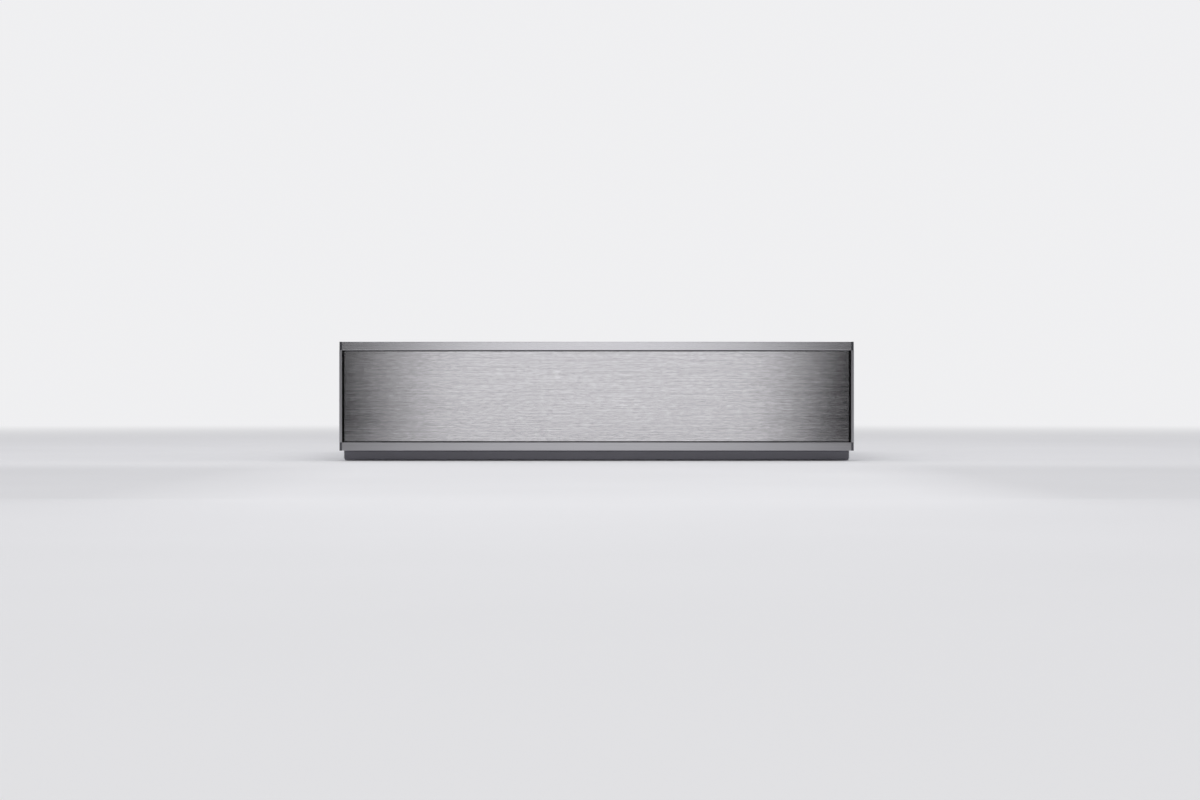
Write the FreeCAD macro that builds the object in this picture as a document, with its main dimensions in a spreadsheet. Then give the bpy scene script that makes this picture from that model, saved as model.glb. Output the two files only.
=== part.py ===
"""Built-in vacuum sealing drawer, 60 cm wide, closed, with its lid down.

X is the width, Y the depth with the front facing -Y, Z is up, all in millimetres. The origin is the bottom
centre of the whole drawer. A depth is measured back from the front plane, and a level up from the feet.
"""

import FreeCAD, Part

import math
import os

import Sketcher
from FreeCAD import Placement, Rotation, Vector

DRIVING_SIZES = {
    # The front, which hides the housing behind it
    "front_width": 590,
    "front_height": 125,
    "front_thickness": 22,
    "top_rail_height": 9.8,
    "bottom_rail_height": 9.6,
    "rail_wall": 1.8,
    "rail_rounding": 0.6,
    "side_strip_width": 3,
    "corner_setback": 2,
    "panel_joint": 1.3,
    "pane_setback": 1,
    "pane_thickness": 4,
    "pane_chamfer": 0.4,
    "panel_sheet": 1.2,
    "carrier_sheet": 3,
    "carrier_rib": 2,
    "carrier_rib_pitch": 64,
    # The trim strip under the front
    "trim_margin": 4.5,
    "trim_height": 10.5,
    "trim_lift": 0.5,
    "trim_gap": 0.5,
    "trim_setback": 18,
    "trim_wall": 2,
    "trim_foot_gap": 2,
    "trim_rounding": 0.5,
    # The housing
    "overall_depth": 545,
    "cabinet_overlap": 16,
    "flange_margin": 3,
    "housing_drop": 2.5,
    "housing_sheet": 1.2,
    "top_flange": 10,
    "foot_height": 2,
    "foot_radius": 10,
    "foot_inset": 32,
    "push_gap": 3.8,
    "buffer_height": 2.8,
    "buffer_radius": 4.5,
    "buffer_level": 26,
    "buffer_drop": 8,
    "mount_screw_radius": 2.25,
    "mount_screw_level": 40,
    "mount_screw_spacing": 70,
    "front_rail_depth": 39,
    "cover_clearance": 12,
    "vent_width": 4,
    "vent_height": 44,
    "vent_pitch": 10,
    "cover_vent_inset": 60,
    "rear_vent_inset": 40,
    "side_vent_inset": 30,
    "side_vent_lift": 10,
    "side_vent_height": 24,
    "seat_gap": 0.3,
    # The mains inlet
    "inlet_inset": 66,
    "inlet_lift": 40,
    "inlet_width": 24,
    "inlet_height": 16,
    "inlet_depth": 20,
    "inlet_wall": 2,
    "inlet_back": 5,
    "inlet_lip": 11,
    "inlet_lip_height": 4,
    "inlet_pin_width": 4,
    "inlet_pin_height": 2,
    "inlet_pin_setback": 3,
    "inlet_pin_spread": 7,
    "inlet_pin_drop": 2,
    "inlet_earth_rise": 3,
    # The push-to-open latch
    "latch_radius": 4,
    "latch_travel": 3,
    "latch_end_gap": 0.5,
    "latch_head_radius": 7,
    "latch_head_length": 4,
    "latch_bore": 26,
    "latch_width": 32,
    "latch_height": 24,
    "latch_lip": 12,
    "latch_lip_height": 4,
    "latch_sheet": 2,
    # Screws with a pan head
    "screw_radius": 1.9,
    "screw_hole_radius": 2.05,
    "screw_head_radius": 3.6,
    "screw_head_height": 1.2,
    "screw_inset": 14,
    # The runners
    "runner_thickness": 12.7,
    "runner_height": 45,
    "runner_length": 450,
    "runner_start": 30,
    "runner_level": 42,
    "runner_sheet": 1.2,
    "runner_overhang": 3.5,
    "middle_overhang": 2.3,
    "middle_shortening": 5,
    "ball_radius": 1.5,
    "ball_play": 0.1,
    "ball_inset": 6,
    "outer_ball_shift": 1,
    "cage_sheet": 0.6,
    "cage_length": 150,
    "cage_start": 150,
    "cage_play": 0.3,
    "cage_lip": 0.4,
    # The drawer
    "drawer_sheet": 1.2,
    "drawer_lift": 1.5,
    "latch_space": 40,
    "side_flange": 18,
    "lid_headroom": 3.3,
    # The control strip
    "control_margin": 3,
    "control_depth": 50,
    "control_glass": 4,
    "control_wall": 2,
    "touch_key_pitch": 52,
    "touch_sensor_radius": 5,
    "board_thickness": 1.6,
    "board_depth": 34,
    "board_lift": 2,
    "board_boss_inset": 6,
    "board_boss_radius": 3,
    "chip_width": 16,
    "chip_height": 1.5,
    # The chamber
    "chamber_width": 350,
    "chamber_length": 260,
    "chamber_start": 95,
    "chamber_sheet": 1.2,
    "chamber_corner": 25,
    "chamber_floor_rounding": 6,
    "chamber_fit": 1,
    "chamber_rim": 22,
    "chamber_rim_end": 16,
    "chamber_rim_corner": 14,
    "under_chamber": 9.8,
    # The suction port in the chamber's left wall
    "port_inset": 55,
    "port_lift": 36,
    "port_reach": 16,
    "port_wall": 1.2,
    "port_nut": 4,
    "port_collar": 3,
    "port_collar_radius": 9,
    "filter_cap_radius": 14,
    "filter_cap_depth": 9,
    "filter_cap_wall": 1.5,
    "filter_slot_pitch": 5,
    "filter_slot_width": 2,
    "filter_slot_length": 17.5,
    # The lid
    "lid_thickness": 10,
    "lid_side": 30,
    "lid_front": 15,
    "lid_rear": 25,
    "lid_rear_cheek": 1.5,
    "lid_rear_grip": 12,
    "lid_rear_web": 3,
    "lid_trim": 3.5,
    "lid_trim_lip": 6,
    "lid_trim_cheek": 1,
    "lid_chamfer": 0.8,
    "seal_height": 3,
    "seal_width": 8,
    "seal_inset": 4,
    "seal_gap": 0.3,
    "hinge_offset": 7,
    "hinge_rise": 4.5,
    "hinge_pin_radius": 3,
    "hinge_running_gap": 0.05,
    "hinge_barrel_radius": 5,
    "hinge_barrel_length": 26,
    "hinge_ear": 3,
    "hinge_side_gap": 0.3,
    "hinge_inset": 40,
    "hinge_eye_wall": 1,
    "hinge_base_depth": 18,
    "hinge_base_height": 2,
    "hinge_arm_drop": 3,
    "hinge_head_length": 1.5,
    "hinge_head_lip": 1.2,
    # The sealing bar
    "bar_inset": 19,
    "bar_end_gap": 25,
    "bar_depth": 14,
    "bar_height": 21.2,
    "bar_lift": 5,
    "bar_lift_gap": 0.3,
    "bar_waist": 3,
    "bar_waist_height": 7,
    "bar_shoulder": 2,
    "tape_sheet": 0.3,
    "tape_leg": 8,
    "tape_end_gap": 4,
    "counter_bar_depth": 12,
    "counter_bar_height": 5.7,
    "counter_bar_overlap": 5,
    "counter_bar_rounding": 1.5,
    "counter_holder_wall": 3,
    "counter_holder_height": 4,
    "piston_radius": 8,
    "piston_play": 0.05,
    "piston_inset": 40,
    "cylinder_wall": 3,
    "cylinder_gap": 13,
    "cylinder_base": 16,
    "cylinder_foot": 3,
    "cylinder_stub_radius": 3.9,
    "cylinder_block": 14,
    "piston_end_gap": 4,
    # The bag clip on the chamber's front wall
    "clip_half_width": 30,
    "clip_sheet": 1.2,
    "clip_ear": 2,
    "clip_ear_height": 8,
    "clip_plate_rise": 5,
    "clip_pin_radius": 1.5,
    "clip_pin_inset": 5,
    "clip_pin_drop": 17.2,
    "clip_barrel_radius": 2.6,
    "clip_jaw": 19,
    "clip_tab": 10,
    "clip_tab_width": 35.5,
    "clip_side_gap": 0.4,
    # The pump and its motor, on rubber mounts
    "machine_gap": 55,
    "motor_radius": 38,
    "motor_length": 118,
    "motor_band": 12,
    "motor_rib_height": 3,
    "motor_rib_width": 2,
    "cradle_width": 40,
    "cradle_depth": 60,
    "cradle_height": 20,
    "cradle_margin": 2,
    "mount_height": 8,
    "mount_radius": 8,
    "pump_right": -8,
    "pump_length": 122,
    "pump_depth": 80,
    "pump_height": 80,
    "pump_rounding": 8,
    "pump_fin": 4,
    "pump_fin_depth": 12,
    "pump_fin_inset": 8,
    "pump_foot_sheet": 4,
    "pump_foot_width": 20,
    "pump_foot_reach": 10,
    "pump_foot_inset": 18,
    "shaft_radius": 5,
    "shaft_play": 0.05,
    "shaft_depth": 45,
    "shaft_bore": 50,
    "shaft_end": 2,
    "fan_gap": 5,
    "fan_radius": 32,
    "fan_depth": 16,
    "fan_chord": 14.4,
    "fan_hub_radius": 10,
    "fan_blade_sheet": 1.6,
    "fan_blade_root": 8,
    # The valves and the hoses
    "hose_radius": 6,
    "hose_bore": 4.5,
    "thin_hose_radius": 3,
    "thin_hose_bore": 2.2,
    "hose_play": 0.1,
    "hose_end_gap": 1,
    "barb_length": 12,
    "manifold_width": 40,
    "manifold_height": 20,
    "manifold_back": 20,
    "suction_inset": 9,
    "pump_hose_bend": 4,
    "coil_radius": 8.5,
    "coil_height": 30,
    "coil_cap_radius": 5,
    "coil_cap_height": 4,
    # The transformer and the power board
    "core_start": 118,
    "core_width": 48,
    "core_length": 64,
    "core_height": 42,
    "winding_width": 62,
    "winding_length": 38,
    "winding_height": 24,
    "board_start": -5,
    "board_length": 110,
    "board_width": 60,
    "pillar_height": 8,
    "pillar_radius": 3,
    "pillar_inset": 6,
    "capacitor_radius": 11,
    "capacitor_height": 28,
    "capacitor_inset": 2,
    "relay_width": 14,
    "relay_length": 18,
    "relay_height": 15,
    "relay_pitch": 25,
    "sink_width": 24,
    "sink_length": 30,
    "sink_height": 25,
    "sink_fin": 2,
}

SIDE_VENTS = 10
REAR_VENTS = 16
CAGE_BALLS = 7
TOUCH_KEYS = 6
PUMP_GROOVES = 13
MOTOR_RIBS = 18
FAN_BLADES = 7
FAN_TILT = 28
VALVES = 3
RELAYS = 3
SINK_FINS = 6
FILTER_SLOTS = 4

# How far one block reaches into another that it is fused to, and how far a cutting block stands proud
OVERLAP = 0.2
PROUD = 1

# How much of a hose's shorter run a bend takes up, where along its way the suction hose comes down, and how
# far a hose's volume may be from its section times its length
BEND_SHARE = 0.45
SUCTION_DESCENT = 0.55
VOLUME_TOLERANCE = 0.02

doc = FreeCAD.newDocument("vacuum_sealing_drawer")
sheet = doc.addObject("Spreadsheet::Sheet", "sizes")
for row, (alias, number) in enumerate(DRIVING_SIZES.items(), 1):
    sheet.set(f"A{row}", alias)
    sheet.set(f"B{row}", str(number))
    sheet.setAlias(f"B{row}", alias)
doc.recompute()


class Size:
    """A length in millimetres, with the expression that keeps it bound to the sheet's cells."""

    def __init__(self, text, number):
        self.text = text
        self.number = number

    def joined(self, sign, other, number):
        return Size(f"({self.text} {sign} {other.text})", number)

    def __add__(self, other):
        other = as_size(other)
        return self.joined("+", other, self.number + other.number)

    def __sub__(self, other):
        other = as_size(other)
        return self.joined("-", other, self.number - other.number)

    def __mul__(self, other):
        other = as_size(other)
        return self.joined("*", other, self.number * other.number)

    def __truediv__(self, other):
        other = as_size(other)
        return self.joined("/", other, self.number / other.number)

    def __radd__(self, other):
        return as_size(other) + self

    def __rsub__(self, other):
        return as_size(other) - self

    def __rmul__(self, other):
        return as_size(other) * self

    def __neg__(self):
        return as_size(0) - self

    def __float__(self):
        return self.number


def as_size(value):
    """A plain number as a Size, so that both can be mixed in sums."""
    return value if isinstance(value, Size) else Size(repr(float(value)), float(value))


class Sheet:
    """The driving sizes by name."""


for alias, number in DRIVING_SIZES.items():
    setattr(Sheet, alias, Size(f"sizes.{alias}", float(number)))

# Levels, from the feet up
front_bottom = Sheet.trim_lift + Sheet.trim_height + Sheet.trim_gap
front_top = front_bottom + Sheet.front_height
bottom_rail_top = front_bottom + Sheet.bottom_rail_height
top_rail_bottom = front_top - Sheet.top_rail_height
housing_top = front_top - Sheet.housing_drop
cover_bottom = housing_top - Sheet.housing_sheet
housing_floor = Sheet.foot_height + Sheet.housing_sheet
lid_top = cover_bottom - Sheet.lid_headroom
lid_bottom = lid_top - Sheet.lid_thickness
rim_top = lid_bottom - Sheet.seal_height - Sheet.seal_gap
deck_top = rim_top - Sheet.chamber_sheet
deck_bottom = deck_top - Sheet.drawer_sheet
drawer_bottom = front_bottom + Sheet.drawer_lift
drawer_floor_top = drawer_bottom + Sheet.drawer_sheet
chamber_floor = drawer_floor_top + Sheet.under_chamber
counter_bottom = lid_bottom - Sheet.counter_holder_height / 2 - Sheet.counter_bar_height
tape_top = counter_bottom - Sheet.bar_lift_gap - Sheet.bar_lift
bar_top = tape_top - Sheet.tape_sheet
bar_bottom = bar_top - Sheet.bar_height
hinge_level = lid_bottom + Sheet.hinge_rise
clip_level = rim_top - Sheet.clip_pin_drop
hose_level = chamber_floor - Sheet.chamber_sheet - Sheet.thin_hose_radius - Sheet.hose_end_gap
port_level = chamber_floor + Sheet.port_lift
mount_top = drawer_floor_top + Sheet.mount_height
pump_bottom = mount_top + Sheet.pump_foot_sheet
motor_level = pump_bottom + Sheet.motor_radius
valve_level = drawer_floor_top + Sheet.manifold_height / 2
machine_level = (drawer_floor_top + deck_bottom) / 2

# Half widths, from the middle
half_front = Sheet.front_width / 2
half_rail = half_front - Sheet.side_strip_width
half_panel = half_rail - Sheet.panel_joint
half_trim = half_front - Sheet.trim_margin
half_housing = half_front - Sheet.cabinet_overlap
half_flange = half_front - Sheet.flange_margin
half_inside = half_housing - Sheet.housing_sheet
half_drawer = half_inside - Sheet.runner_thickness
half_bay = half_drawer - Sheet.drawer_sheet
half_chamber = Sheet.chamber_width / 2
half_tub = half_chamber + Sheet.chamber_sheet
half_lid = half_chamber + Sheet.lid_side
half_bar = half_chamber - Sheet.bar_end_gap
half_control = half_drawer - Sheet.control_margin
piston_x = half_bar - Sheet.piston_inset
hinge_x = half_lid - Sheet.hinge_inset
side_bay = (half_tub + half_bay) / 2
suction_x = -side_bay + Sheet.manifold_width / 2 - Sheet.suction_inset
lift_x = -side_bay - Sheet.manifold_width / 2 + Sheet.hose_radius
pump_right = Sheet.pump_right
pump_left = pump_right - Sheet.pump_length
motor_right = pump_right + Sheet.motor_length

# Depths, back from the front plane
front_y = Sheet.overall_depth / -2
front_back = front_y + Sheet.front_thickness
rear_y = front_y + Sheet.overall_depth
rear_inside = rear_y - Sheet.housing_sheet
flange_front = front_back + Sheet.push_gap
flange_back = flange_front + Sheet.housing_sheet
drawer_back = rear_y - Sheet.latch_space
panel_front = front_y + Sheet.pane_setback + Sheet.pane_thickness
panel_back = panel_front + Sheet.panel_sheet
front_foot_y = flange_back + Sheet.foot_inset
rear_foot_y = rear_y - Sheet.foot_inset
control_front = front_back + Sheet.seat_gap
control_back = control_front + Sheet.control_depth
chamber_front = front_y + Sheet.chamber_start
chamber_back = chamber_front + Sheet.chamber_length
bar_y = chamber_front + Sheet.bar_inset
lid_front = chamber_front - Sheet.lid_front
lid_back = chamber_back + Sheet.lid_rear
lid_web_back = lid_back + Sheet.lid_rear_web
hinge_y = lid_web_back + Sheet.hinge_offset
cover_front = hinge_y + Sheet.cover_clearance
clip_y = chamber_front + Sheet.clip_pin_inset
port_y = chamber_back - Sheet.port_inset
motor_y = chamber_back + Sheet.machine_gap + Sheet.motor_radius
valve_front = motor_y - Sheet.motor_radius
valve_back = motor_y + Sheet.manifold_back
runner_front = front_y + Sheet.runner_start
runner_back = runner_front + Sheet.runner_length

# The barbs that the hoses are pushed on
barb_radius = Sheet.hose_bore - Sheet.hose_play
thin_barb_radius = Sheet.thin_hose_bore - Sheet.hose_play

SIDES = {"left": -1, "right": 1}
AXES = {
    "X": Rotation(Vector(0, 1, 0), 90),
    "Y": Rotation(Vector(1, 0, 0), -90),
    "Z": Rotation(),
}
parts = {}


def kept(label, thing):
    """Marks a finished object as the sub-part of this name."""
    thing.Label = label
    parts[label] = thing
    return thing


def bind(thing, name, value):
    """Binds a property to a size, so that it follows the sheet."""
    thing.setExpression(name, as_size(value).text)


def place(thing, x, y, z, turn=None):
    """Puts an object's own origin at x, y, z."""
    if turn is not None:
        thing.Placement = Placement(Vector(), turn)
    for axis, value in zip("xyz", (x, y, z)):
        bind(thing, f"Placement.Base.{axis}", value)


def box(name, x, y, z):
    """A block between two values along each axis."""
    block = doc.addObject("Part::Box", name)
    for side, (low, high) in zip(("Length", "Width", "Height"), (x, y, z)):
        bind(block, side, as_size(high) - low)
    place(block, x[0], y[0], z[0])
    return block


def mirrored(side, low, high):
    """A span of x on one side: the same distances from the middle, left or right."""
    return (low * side, high * side) if side > 0 else (high * side, low * side)


def centred(middle, half):
    return (middle - half, middle + half)


def rod(name, axis, start, length, radius):
    """A cylinder from the point start along +axis."""
    cylinder = doc.addObject("Part::Cylinder", name)
    bind(cylinder, "Radius", radius)
    bind(cylinder, "Height", length)
    place(cylinder, *start, AXES[axis])
    return cylinder


def fused(name, shapes):
    union = doc.addObject("Part::MultiFuse", name)
    union.Shapes = shapes
    union.Refine = True
    return union


def cut(name, base, tools):
    """The base with every tool taken out of it."""
    difference = doc.addObject("Part::Cut", name)
    difference.Base = base
    difference.Tool = tools[0] if len(tools) == 1 else fused(f"{name}_tools", tools)
    return difference


def group(name, shapes):
    """Several solids that make one sub-part."""
    compound = doc.addObject("Part::Compound", name)
    compound.Links = shapes
    return compound


def screw(name, axis, start, shank):
    """A pan-headed screw whose head sits on the point start, with its shank going the other way."""
    shank_start = list(start)
    index = "XYZ".index(axis)
    shank_start[index] = shank_start[index] - shank
    head = rod(f"{name}_head", axis, start, Sheet.screw_head_height, Sheet.screw_head_radius)
    pin = rod(f"{name}_shank", axis, shank_start, shank, Sheet.screw_radius)
    return fused(name, [head, pin])


def new_body(name):
    return doc.addObject("PartDesign::Body", name)


def new_sketch(body, plane, offset):
    """A sketch on one of the body's own planes, moved along the plane's normal axis to offset."""
    drawing = body.newObject("Sketcher::SketchObject", f"{body.Name}_sketch")
    support = next(item for item in body.Origin.OriginFeatures if item.Role == plane)
    drawing.AttachmentSupport = [(support, "")]
    drawing.MapMode = "FlatFace"
    away = -as_size(offset) if plane == "XZ_Plane" else offset
    bind(drawing, "AttachmentOffset.Base.z", away)
    return drawing


def hold(drawing, kind, geometry, point, value):
    """Holds one coordinate of a point at its distance from the sketch's origin."""
    value = as_size(value)
    if value.text == "0.0":
        axis = -2 if kind == "DistanceX" else -1
        drawing.addConstraint(Sketcher.Constraint("PointOnObject", geometry, point, axis))
        return
    number = drawing.addConstraint(Sketcher.Constraint(kind, -1, 1, geometry, point, value.number))
    drawing.setExpression(f"Constraints[{number}]", value.text)


def outline(drawing, points):
    """A closed outline of straight lines, each corner held by its two distances."""
    corners = [Vector(float(across), float(up), 0) for across, up in points]
    first = drawing.GeometryCount
    count = len(corners)
    for index, corner in enumerate(corners):
        line = Part.LineSegment(corner, corners[(index + 1) % count])
        drawing.addGeometry(line, False)
    for index, (across, up) in enumerate(points):
        line = first + index
        following = first + (index + 1) % count
        drawing.addConstraint(Sketcher.Constraint("Coincident", line, 2, following, 1))
        hold(drawing, "DistanceX", line, 1, across)
        hold(drawing, "DistanceY", line, 1, up)


def oblong(drawing, across, up):
    """A rectangle between two values each way."""
    low, high = across
    bottom, top = up
    outline(drawing, [(low, bottom), (high, bottom), (high, top), (low, top)])


def ring(drawing, across, up, radius):
    """A circle with its centre held by its two distances."""
    centre = Vector(float(across), float(up), 0)
    circle = drawing.addGeometry(Part.Circle(centre, Vector(0, 0, 1), float(radius)), False)
    hold(drawing, "DistanceX", circle, 3, across)
    hold(drawing, "DistanceY", circle, 3, up)
    number = drawing.addConstraint(Sketcher.Constraint("Radius", circle, float(radius)))
    drawing.setExpression(f"Constraints[{number}]", as_size(radius).text)


def pad(body, drawing, length):
    """Adds the sketch's outline from its plane towards +X, +Y or +Z."""
    feature = body.newObject("PartDesign::Pad", f"{body.Name}_pad")
    feature.Profile = drawing
    bind(feature, "Length", length)
    feature.Reversed = drawing.AttachmentSupport[0][0].Role == "XZ_Plane"
    doc.recompute()
    return feature


def pocket_through(body, drawing):
    """Cuts the sketch's outline out, right through both ways."""
    feature = body.newObject("PartDesign::Pocket", f"{body.Name}_pocket")
    feature.Profile = drawing
    feature.Type = "ThroughAll"
    feature.SideType = "Symmetric"
    doc.recompute()
    return feature


def pocket_down(body, drawing, depth):
    """Cuts the sketch's outline down to a depth below its level plane."""
    feature = body.newObject("PartDesign::Pocket", f"{body.Name}_pocket")
    feature.Profile = drawing
    bind(feature, "Length", depth)
    doc.recompute()
    return feature


def row_of(body, feature, plane_axis, pitch, count):
    """Repeats a feature along one of the body's own axes."""
    pattern = body.newObject("PartDesign::LinearPattern", f"{body.Name}_row")
    pattern.Originals = [feature]
    direction = next(item for item in body.Origin.OriginFeatures if item.Role == plane_axis)
    pattern.Direction = (direction, [""])
    bind(pattern, "Length", pitch * (count - 1))
    pattern.Occurrences = count
    body.Tip = pattern
    doc.recompute()
    return pattern


def dress(body, kind, size_name, value, picks):
    """Rounds or chamfers the tip's edges that picks accepts."""
    base = body.Tip
    names = [f"Edge{index}" for index, edge in enumerate(base.Shape.Edges, 1) if picks(edge)]
    feature = body.newObject(f"PartDesign::{kind}", f"{body.Name}_{kind.lower()}")
    feature.Base = (base, names)
    bind(feature, size_name, value)
    body.Tip = feature
    doc.recompute()
    return feature


def along(edge, axis):
    """Whether a straight edge runs along an axis."""
    if not isinstance(edge.Curve, (Part.Line, Part.LineSegment)):
        return False
    tangent = edge.tangentAt(edge.FirstParameter)
    return abs(tangent.dot(axis)) > 0.999


def near(edge, **where):
    """Whether all of an edge lies at the given coordinates."""
    bounds = edge.BoundBox
    return all(
        abs(getattr(bounds, f"{axis.upper()}{end}") - float(value)) < 0.01
        for axis, value in where.items()
        for end in ("Min", "Max")
    )


def extrusion(name, points, half, hollows=()):
    """A profile drawn across the depth and height, drawn out to the same half width both ways."""
    body = new_body(name)
    drawing = new_sketch(body, "YZ_Plane", -half)
    outline(drawing, points)
    for hollow in hollows:
        outline(drawing, hollow)
    pad(body, drawing, half * 2)
    return body


X_AXIS, Y_AXIS, Z_AXIS = Vector(1, 0, 0), Vector(0, 1, 0), Vector(0, 0, 1)


def front_rail(label, bottom, top):
    """A hollow aluminium rail with softened front edges."""
    wall = Sheet.rail_wall
    y = (front_y, front_back)
    shell = [(y[0], bottom), (y[1], bottom), (y[1], top), (y[0], top)]
    hollow = [
        (y[0] + wall, bottom + wall),
        (y[1] - wall, bottom + wall),
        (y[1] - wall, top - wall),
        (y[0] + wall, top - wall),
    ]
    rail = extrusion(label, shell, half_rail, [hollow])
    dress(
        rail,
        "Fillet",
        "Radius",
        Sheet.rail_rounding,
        lambda edge: along(edge, X_AXIS) and near(edge, y=front_y),
    )
    kept(label, rail)


def front_frame():
    """The rails, the strips at the ends of the panel and the pieces that close the rails' ends."""
    front_rail("front_bottom_rail", front_bottom, bottom_rail_top)
    front_rail("front_top_rail", top_rail_bottom, front_top)
    strips = []
    corners = []
    for name, side in SIDES.items():
        x = mirrored(side, half_rail, half_front)
        strips.append(
            box(f"strip_{name}", x, (front_y, front_back), (bottom_rail_top, top_rail_bottom))
        )
        corner_y = (front_y + Sheet.corner_setback, front_back)
        corners.append(box(f"corner_low_{name}", x, corner_y, (front_bottom, bottom_rail_top)))
        corners.append(box(f"corner_high_{name}", x, corner_y, (top_rail_bottom, front_top)))
    kept("front_side_strips", group("front_side_strips", strips))
    kept("front_corner_pieces", group("front_corner_pieces", corners))


def front_panel():
    """The steel panel and the clear pane in front of it, with a dark joint all round."""
    x = (-half_panel, half_panel)
    z = (bottom_rail_top + Sheet.panel_joint, top_rail_bottom - Sheet.panel_joint)
    kept("front_steel_panel", box("front_steel_panel", x, (panel_front, panel_back), z))
    pane = new_body("front_glass_pane")
    drawing = new_sketch(pane, "XZ_Plane", front_y + Sheet.pane_setback)
    oblong(drawing, x, z)
    pad(pane, drawing, Sheet.pane_thickness)
    dress(
        pane,
        "Chamfer",
        "Size",
        Sheet.pane_chamfer,
        lambda edge: near(edge, y=front_y + Sheet.pane_setback),
    )
    kept("front_glass_pane", pane)


def front_carrier():
    """The ribbed plastic carrier that the panel is bonded to."""
    carrier = new_body("front_carrier")
    plate = new_sketch(carrier, "XZ_Plane", panel_back)
    oblong(plate, (-half_rail, half_rail), (bottom_rail_top, top_rail_bottom))
    pad(carrier, plate, Sheet.carrier_sheet)
    rib = new_sketch(carrier, "XZ_Plane", panel_back + Sheet.carrier_sheet)
    rib_span = half_rail * 2 - Sheet.carrier_rib
    oblong(rib, (-half_rail, -half_rail + Sheet.carrier_rib), (bottom_rail_top, top_rail_bottom))
    rib_depth = front_back - Sheet.drawer_sheet - panel_back - Sheet.carrier_sheet
    first = pad(carrier, rib, rib_depth)
    count = round(float(rib_span) / float(Sheet.carrier_rib_pitch)) + 1
    row_of(carrier, first, "X_Axis", rib_span / (count - 1), count)
    kept("front_carrier", carrier)


def front_screw_places():
    """Where the drawer's sides are screwed to the front, as x and z."""
    x = half_bay - Sheet.side_flange / 2
    low = bottom_rail_top + Sheet.screw_inset
    high = deck_bottom - Sheet.screw_inset
    return [(x * side, z) for side in SIDES.values() for z in (low, (low + high) / 2, high)]


def front_back_plate():
    """The sheet that closes the front behind, with the holes for its screws."""
    plate = new_body("front_back_plate")
    drawing = new_sketch(plate, "XZ_Plane", front_back - Sheet.drawer_sheet)
    oblong(drawing, (-half_rail, half_rail), (bottom_rail_top, top_rail_bottom))
    for x, z in front_screw_places():
        ring(drawing, x, z, Sheet.screw_hole_radius)
    pad(plate, drawing, Sheet.drawer_sheet)
    kept("front_back_plate", plate)
    seat = front_back + Sheet.drawer_sheet
    screws = [
        screw(f"front_screw_{index}", "Y", (x, seat, z), Sheet.drawer_sheet * 2)
        for index, (x, z) in enumerate(front_screw_places())
    ]
    kept("front_screws", group("front_screws", screws))


def lower_trim():
    """The recessed strip under the front, an angle fixed below the housing, short of its front feet."""
    face = front_y + Sheet.trim_setback
    wall = face + Sheet.trim_wall
    foot_end = front_foot_y - Sheet.foot_radius - Sheet.trim_foot_gap
    foot_top = Sheet.foot_height
    bottom = Sheet.trim_lift
    top = bottom + Sheet.trim_height
    points = [
        (face, bottom),
        (foot_end, bottom),
        (foot_end, foot_top),
        (wall, foot_top),
        (wall, top),
        (face, top),
    ]
    trim = extrusion("lower_front_trim", points, half_trim)
    dress(
        trim,
        "Fillet",
        "Radius",
        Sheet.trim_rounding,
        lambda edge: along(edge, X_AXIS) and near(edge, y=face),
    )
    kept("lower_front_trim", trim)


def housing_base():
    """The housing's floor and the four feet that it stands on."""
    x = (-half_inside, half_inside)
    y = (flange_back, rear_inside)
    kept("housing_base", box("housing_base", x, y, (Sheet.foot_height, housing_floor)))
    feet = []
    for name, side in SIDES.items():
        foot_x = (half_inside - Sheet.foot_inset) * side
        for end, foot_y in (("front", front_foot_y), ("rear", rear_foot_y)):
            start = (foot_x, foot_y, 0)
            feet.append(rod(f"foot_{end}_{name}", "Z", start, Sheet.foot_height, Sheet.foot_radius))
    kept("housing_feet", group("housing_feet", feet))


def mount_screw_levels():
    return (Sheet.mount_screw_level, Sheet.mount_screw_level + Sheet.mount_screw_spacing)


def housing_side(name, side):
    """One side of the housing, folded out at the front to the screw flange and in at the top."""
    label = f"housing_side_{name}"
    wall = new_body(label)
    plan = new_sketch(wall, "XY_Plane", Sheet.foot_height)
    outline(
        plan,
        [
            (half_inside * side, flange_front),
            (half_flange * side, flange_front),
            (half_flange * side, flange_back),
            (half_housing * side, flange_back),
            (half_housing * side, rear_y),
            (half_inside * side, rear_y),
        ],
    )
    pad(wall, plan, cover_bottom - Sheet.foot_height)
    top = new_sketch(wall, "XY_Plane", cover_bottom - Sheet.housing_sheet)
    fold = mirrored(side, half_housing - Sheet.top_flange, half_inside + OVERLAP)
    oblong(top, fold, (flange_back, rear_inside))
    pad(wall, top, Sheet.housing_sheet)
    holes = new_sketch(wall, "XZ_Plane", flange_front)
    for level in mount_screw_levels():
        ring(holes, (half_housing + half_flange) / 2 * side, level, Sheet.mount_screw_radius)
    pocket_through(wall, holes)
    vent = new_sketch(wall, "YZ_Plane", half_housing * side)
    vent_back = rear_y - Sheet.side_vent_inset
    vent_low = housing_floor + Sheet.side_vent_lift
    vent_y = (vent_back - Sheet.vent_width, vent_back)
    oblong(vent, vent_y, (vent_low, vent_low + Sheet.side_vent_height))
    slot = pocket_through(wall, vent)
    pattern = row_of(wall, slot, "Y_Axis", Sheet.vent_pitch, SIDE_VENTS)
    pattern.Reversed = True
    doc.recompute()
    kept(label, wall)


def cover_screw_places():
    """Where the top rail and cover are screwed to the housing's sides, as x and y."""
    x = half_housing - Sheet.top_flange / 2
    front = flange_back + Sheet.front_rail_depth / 2
    rear = (cover_front + Sheet.screw_inset, rear_y - Sheet.screw_inset)
    return [(x * side, y) for side in SIDES.values() for y in (front, *rear)]


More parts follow.
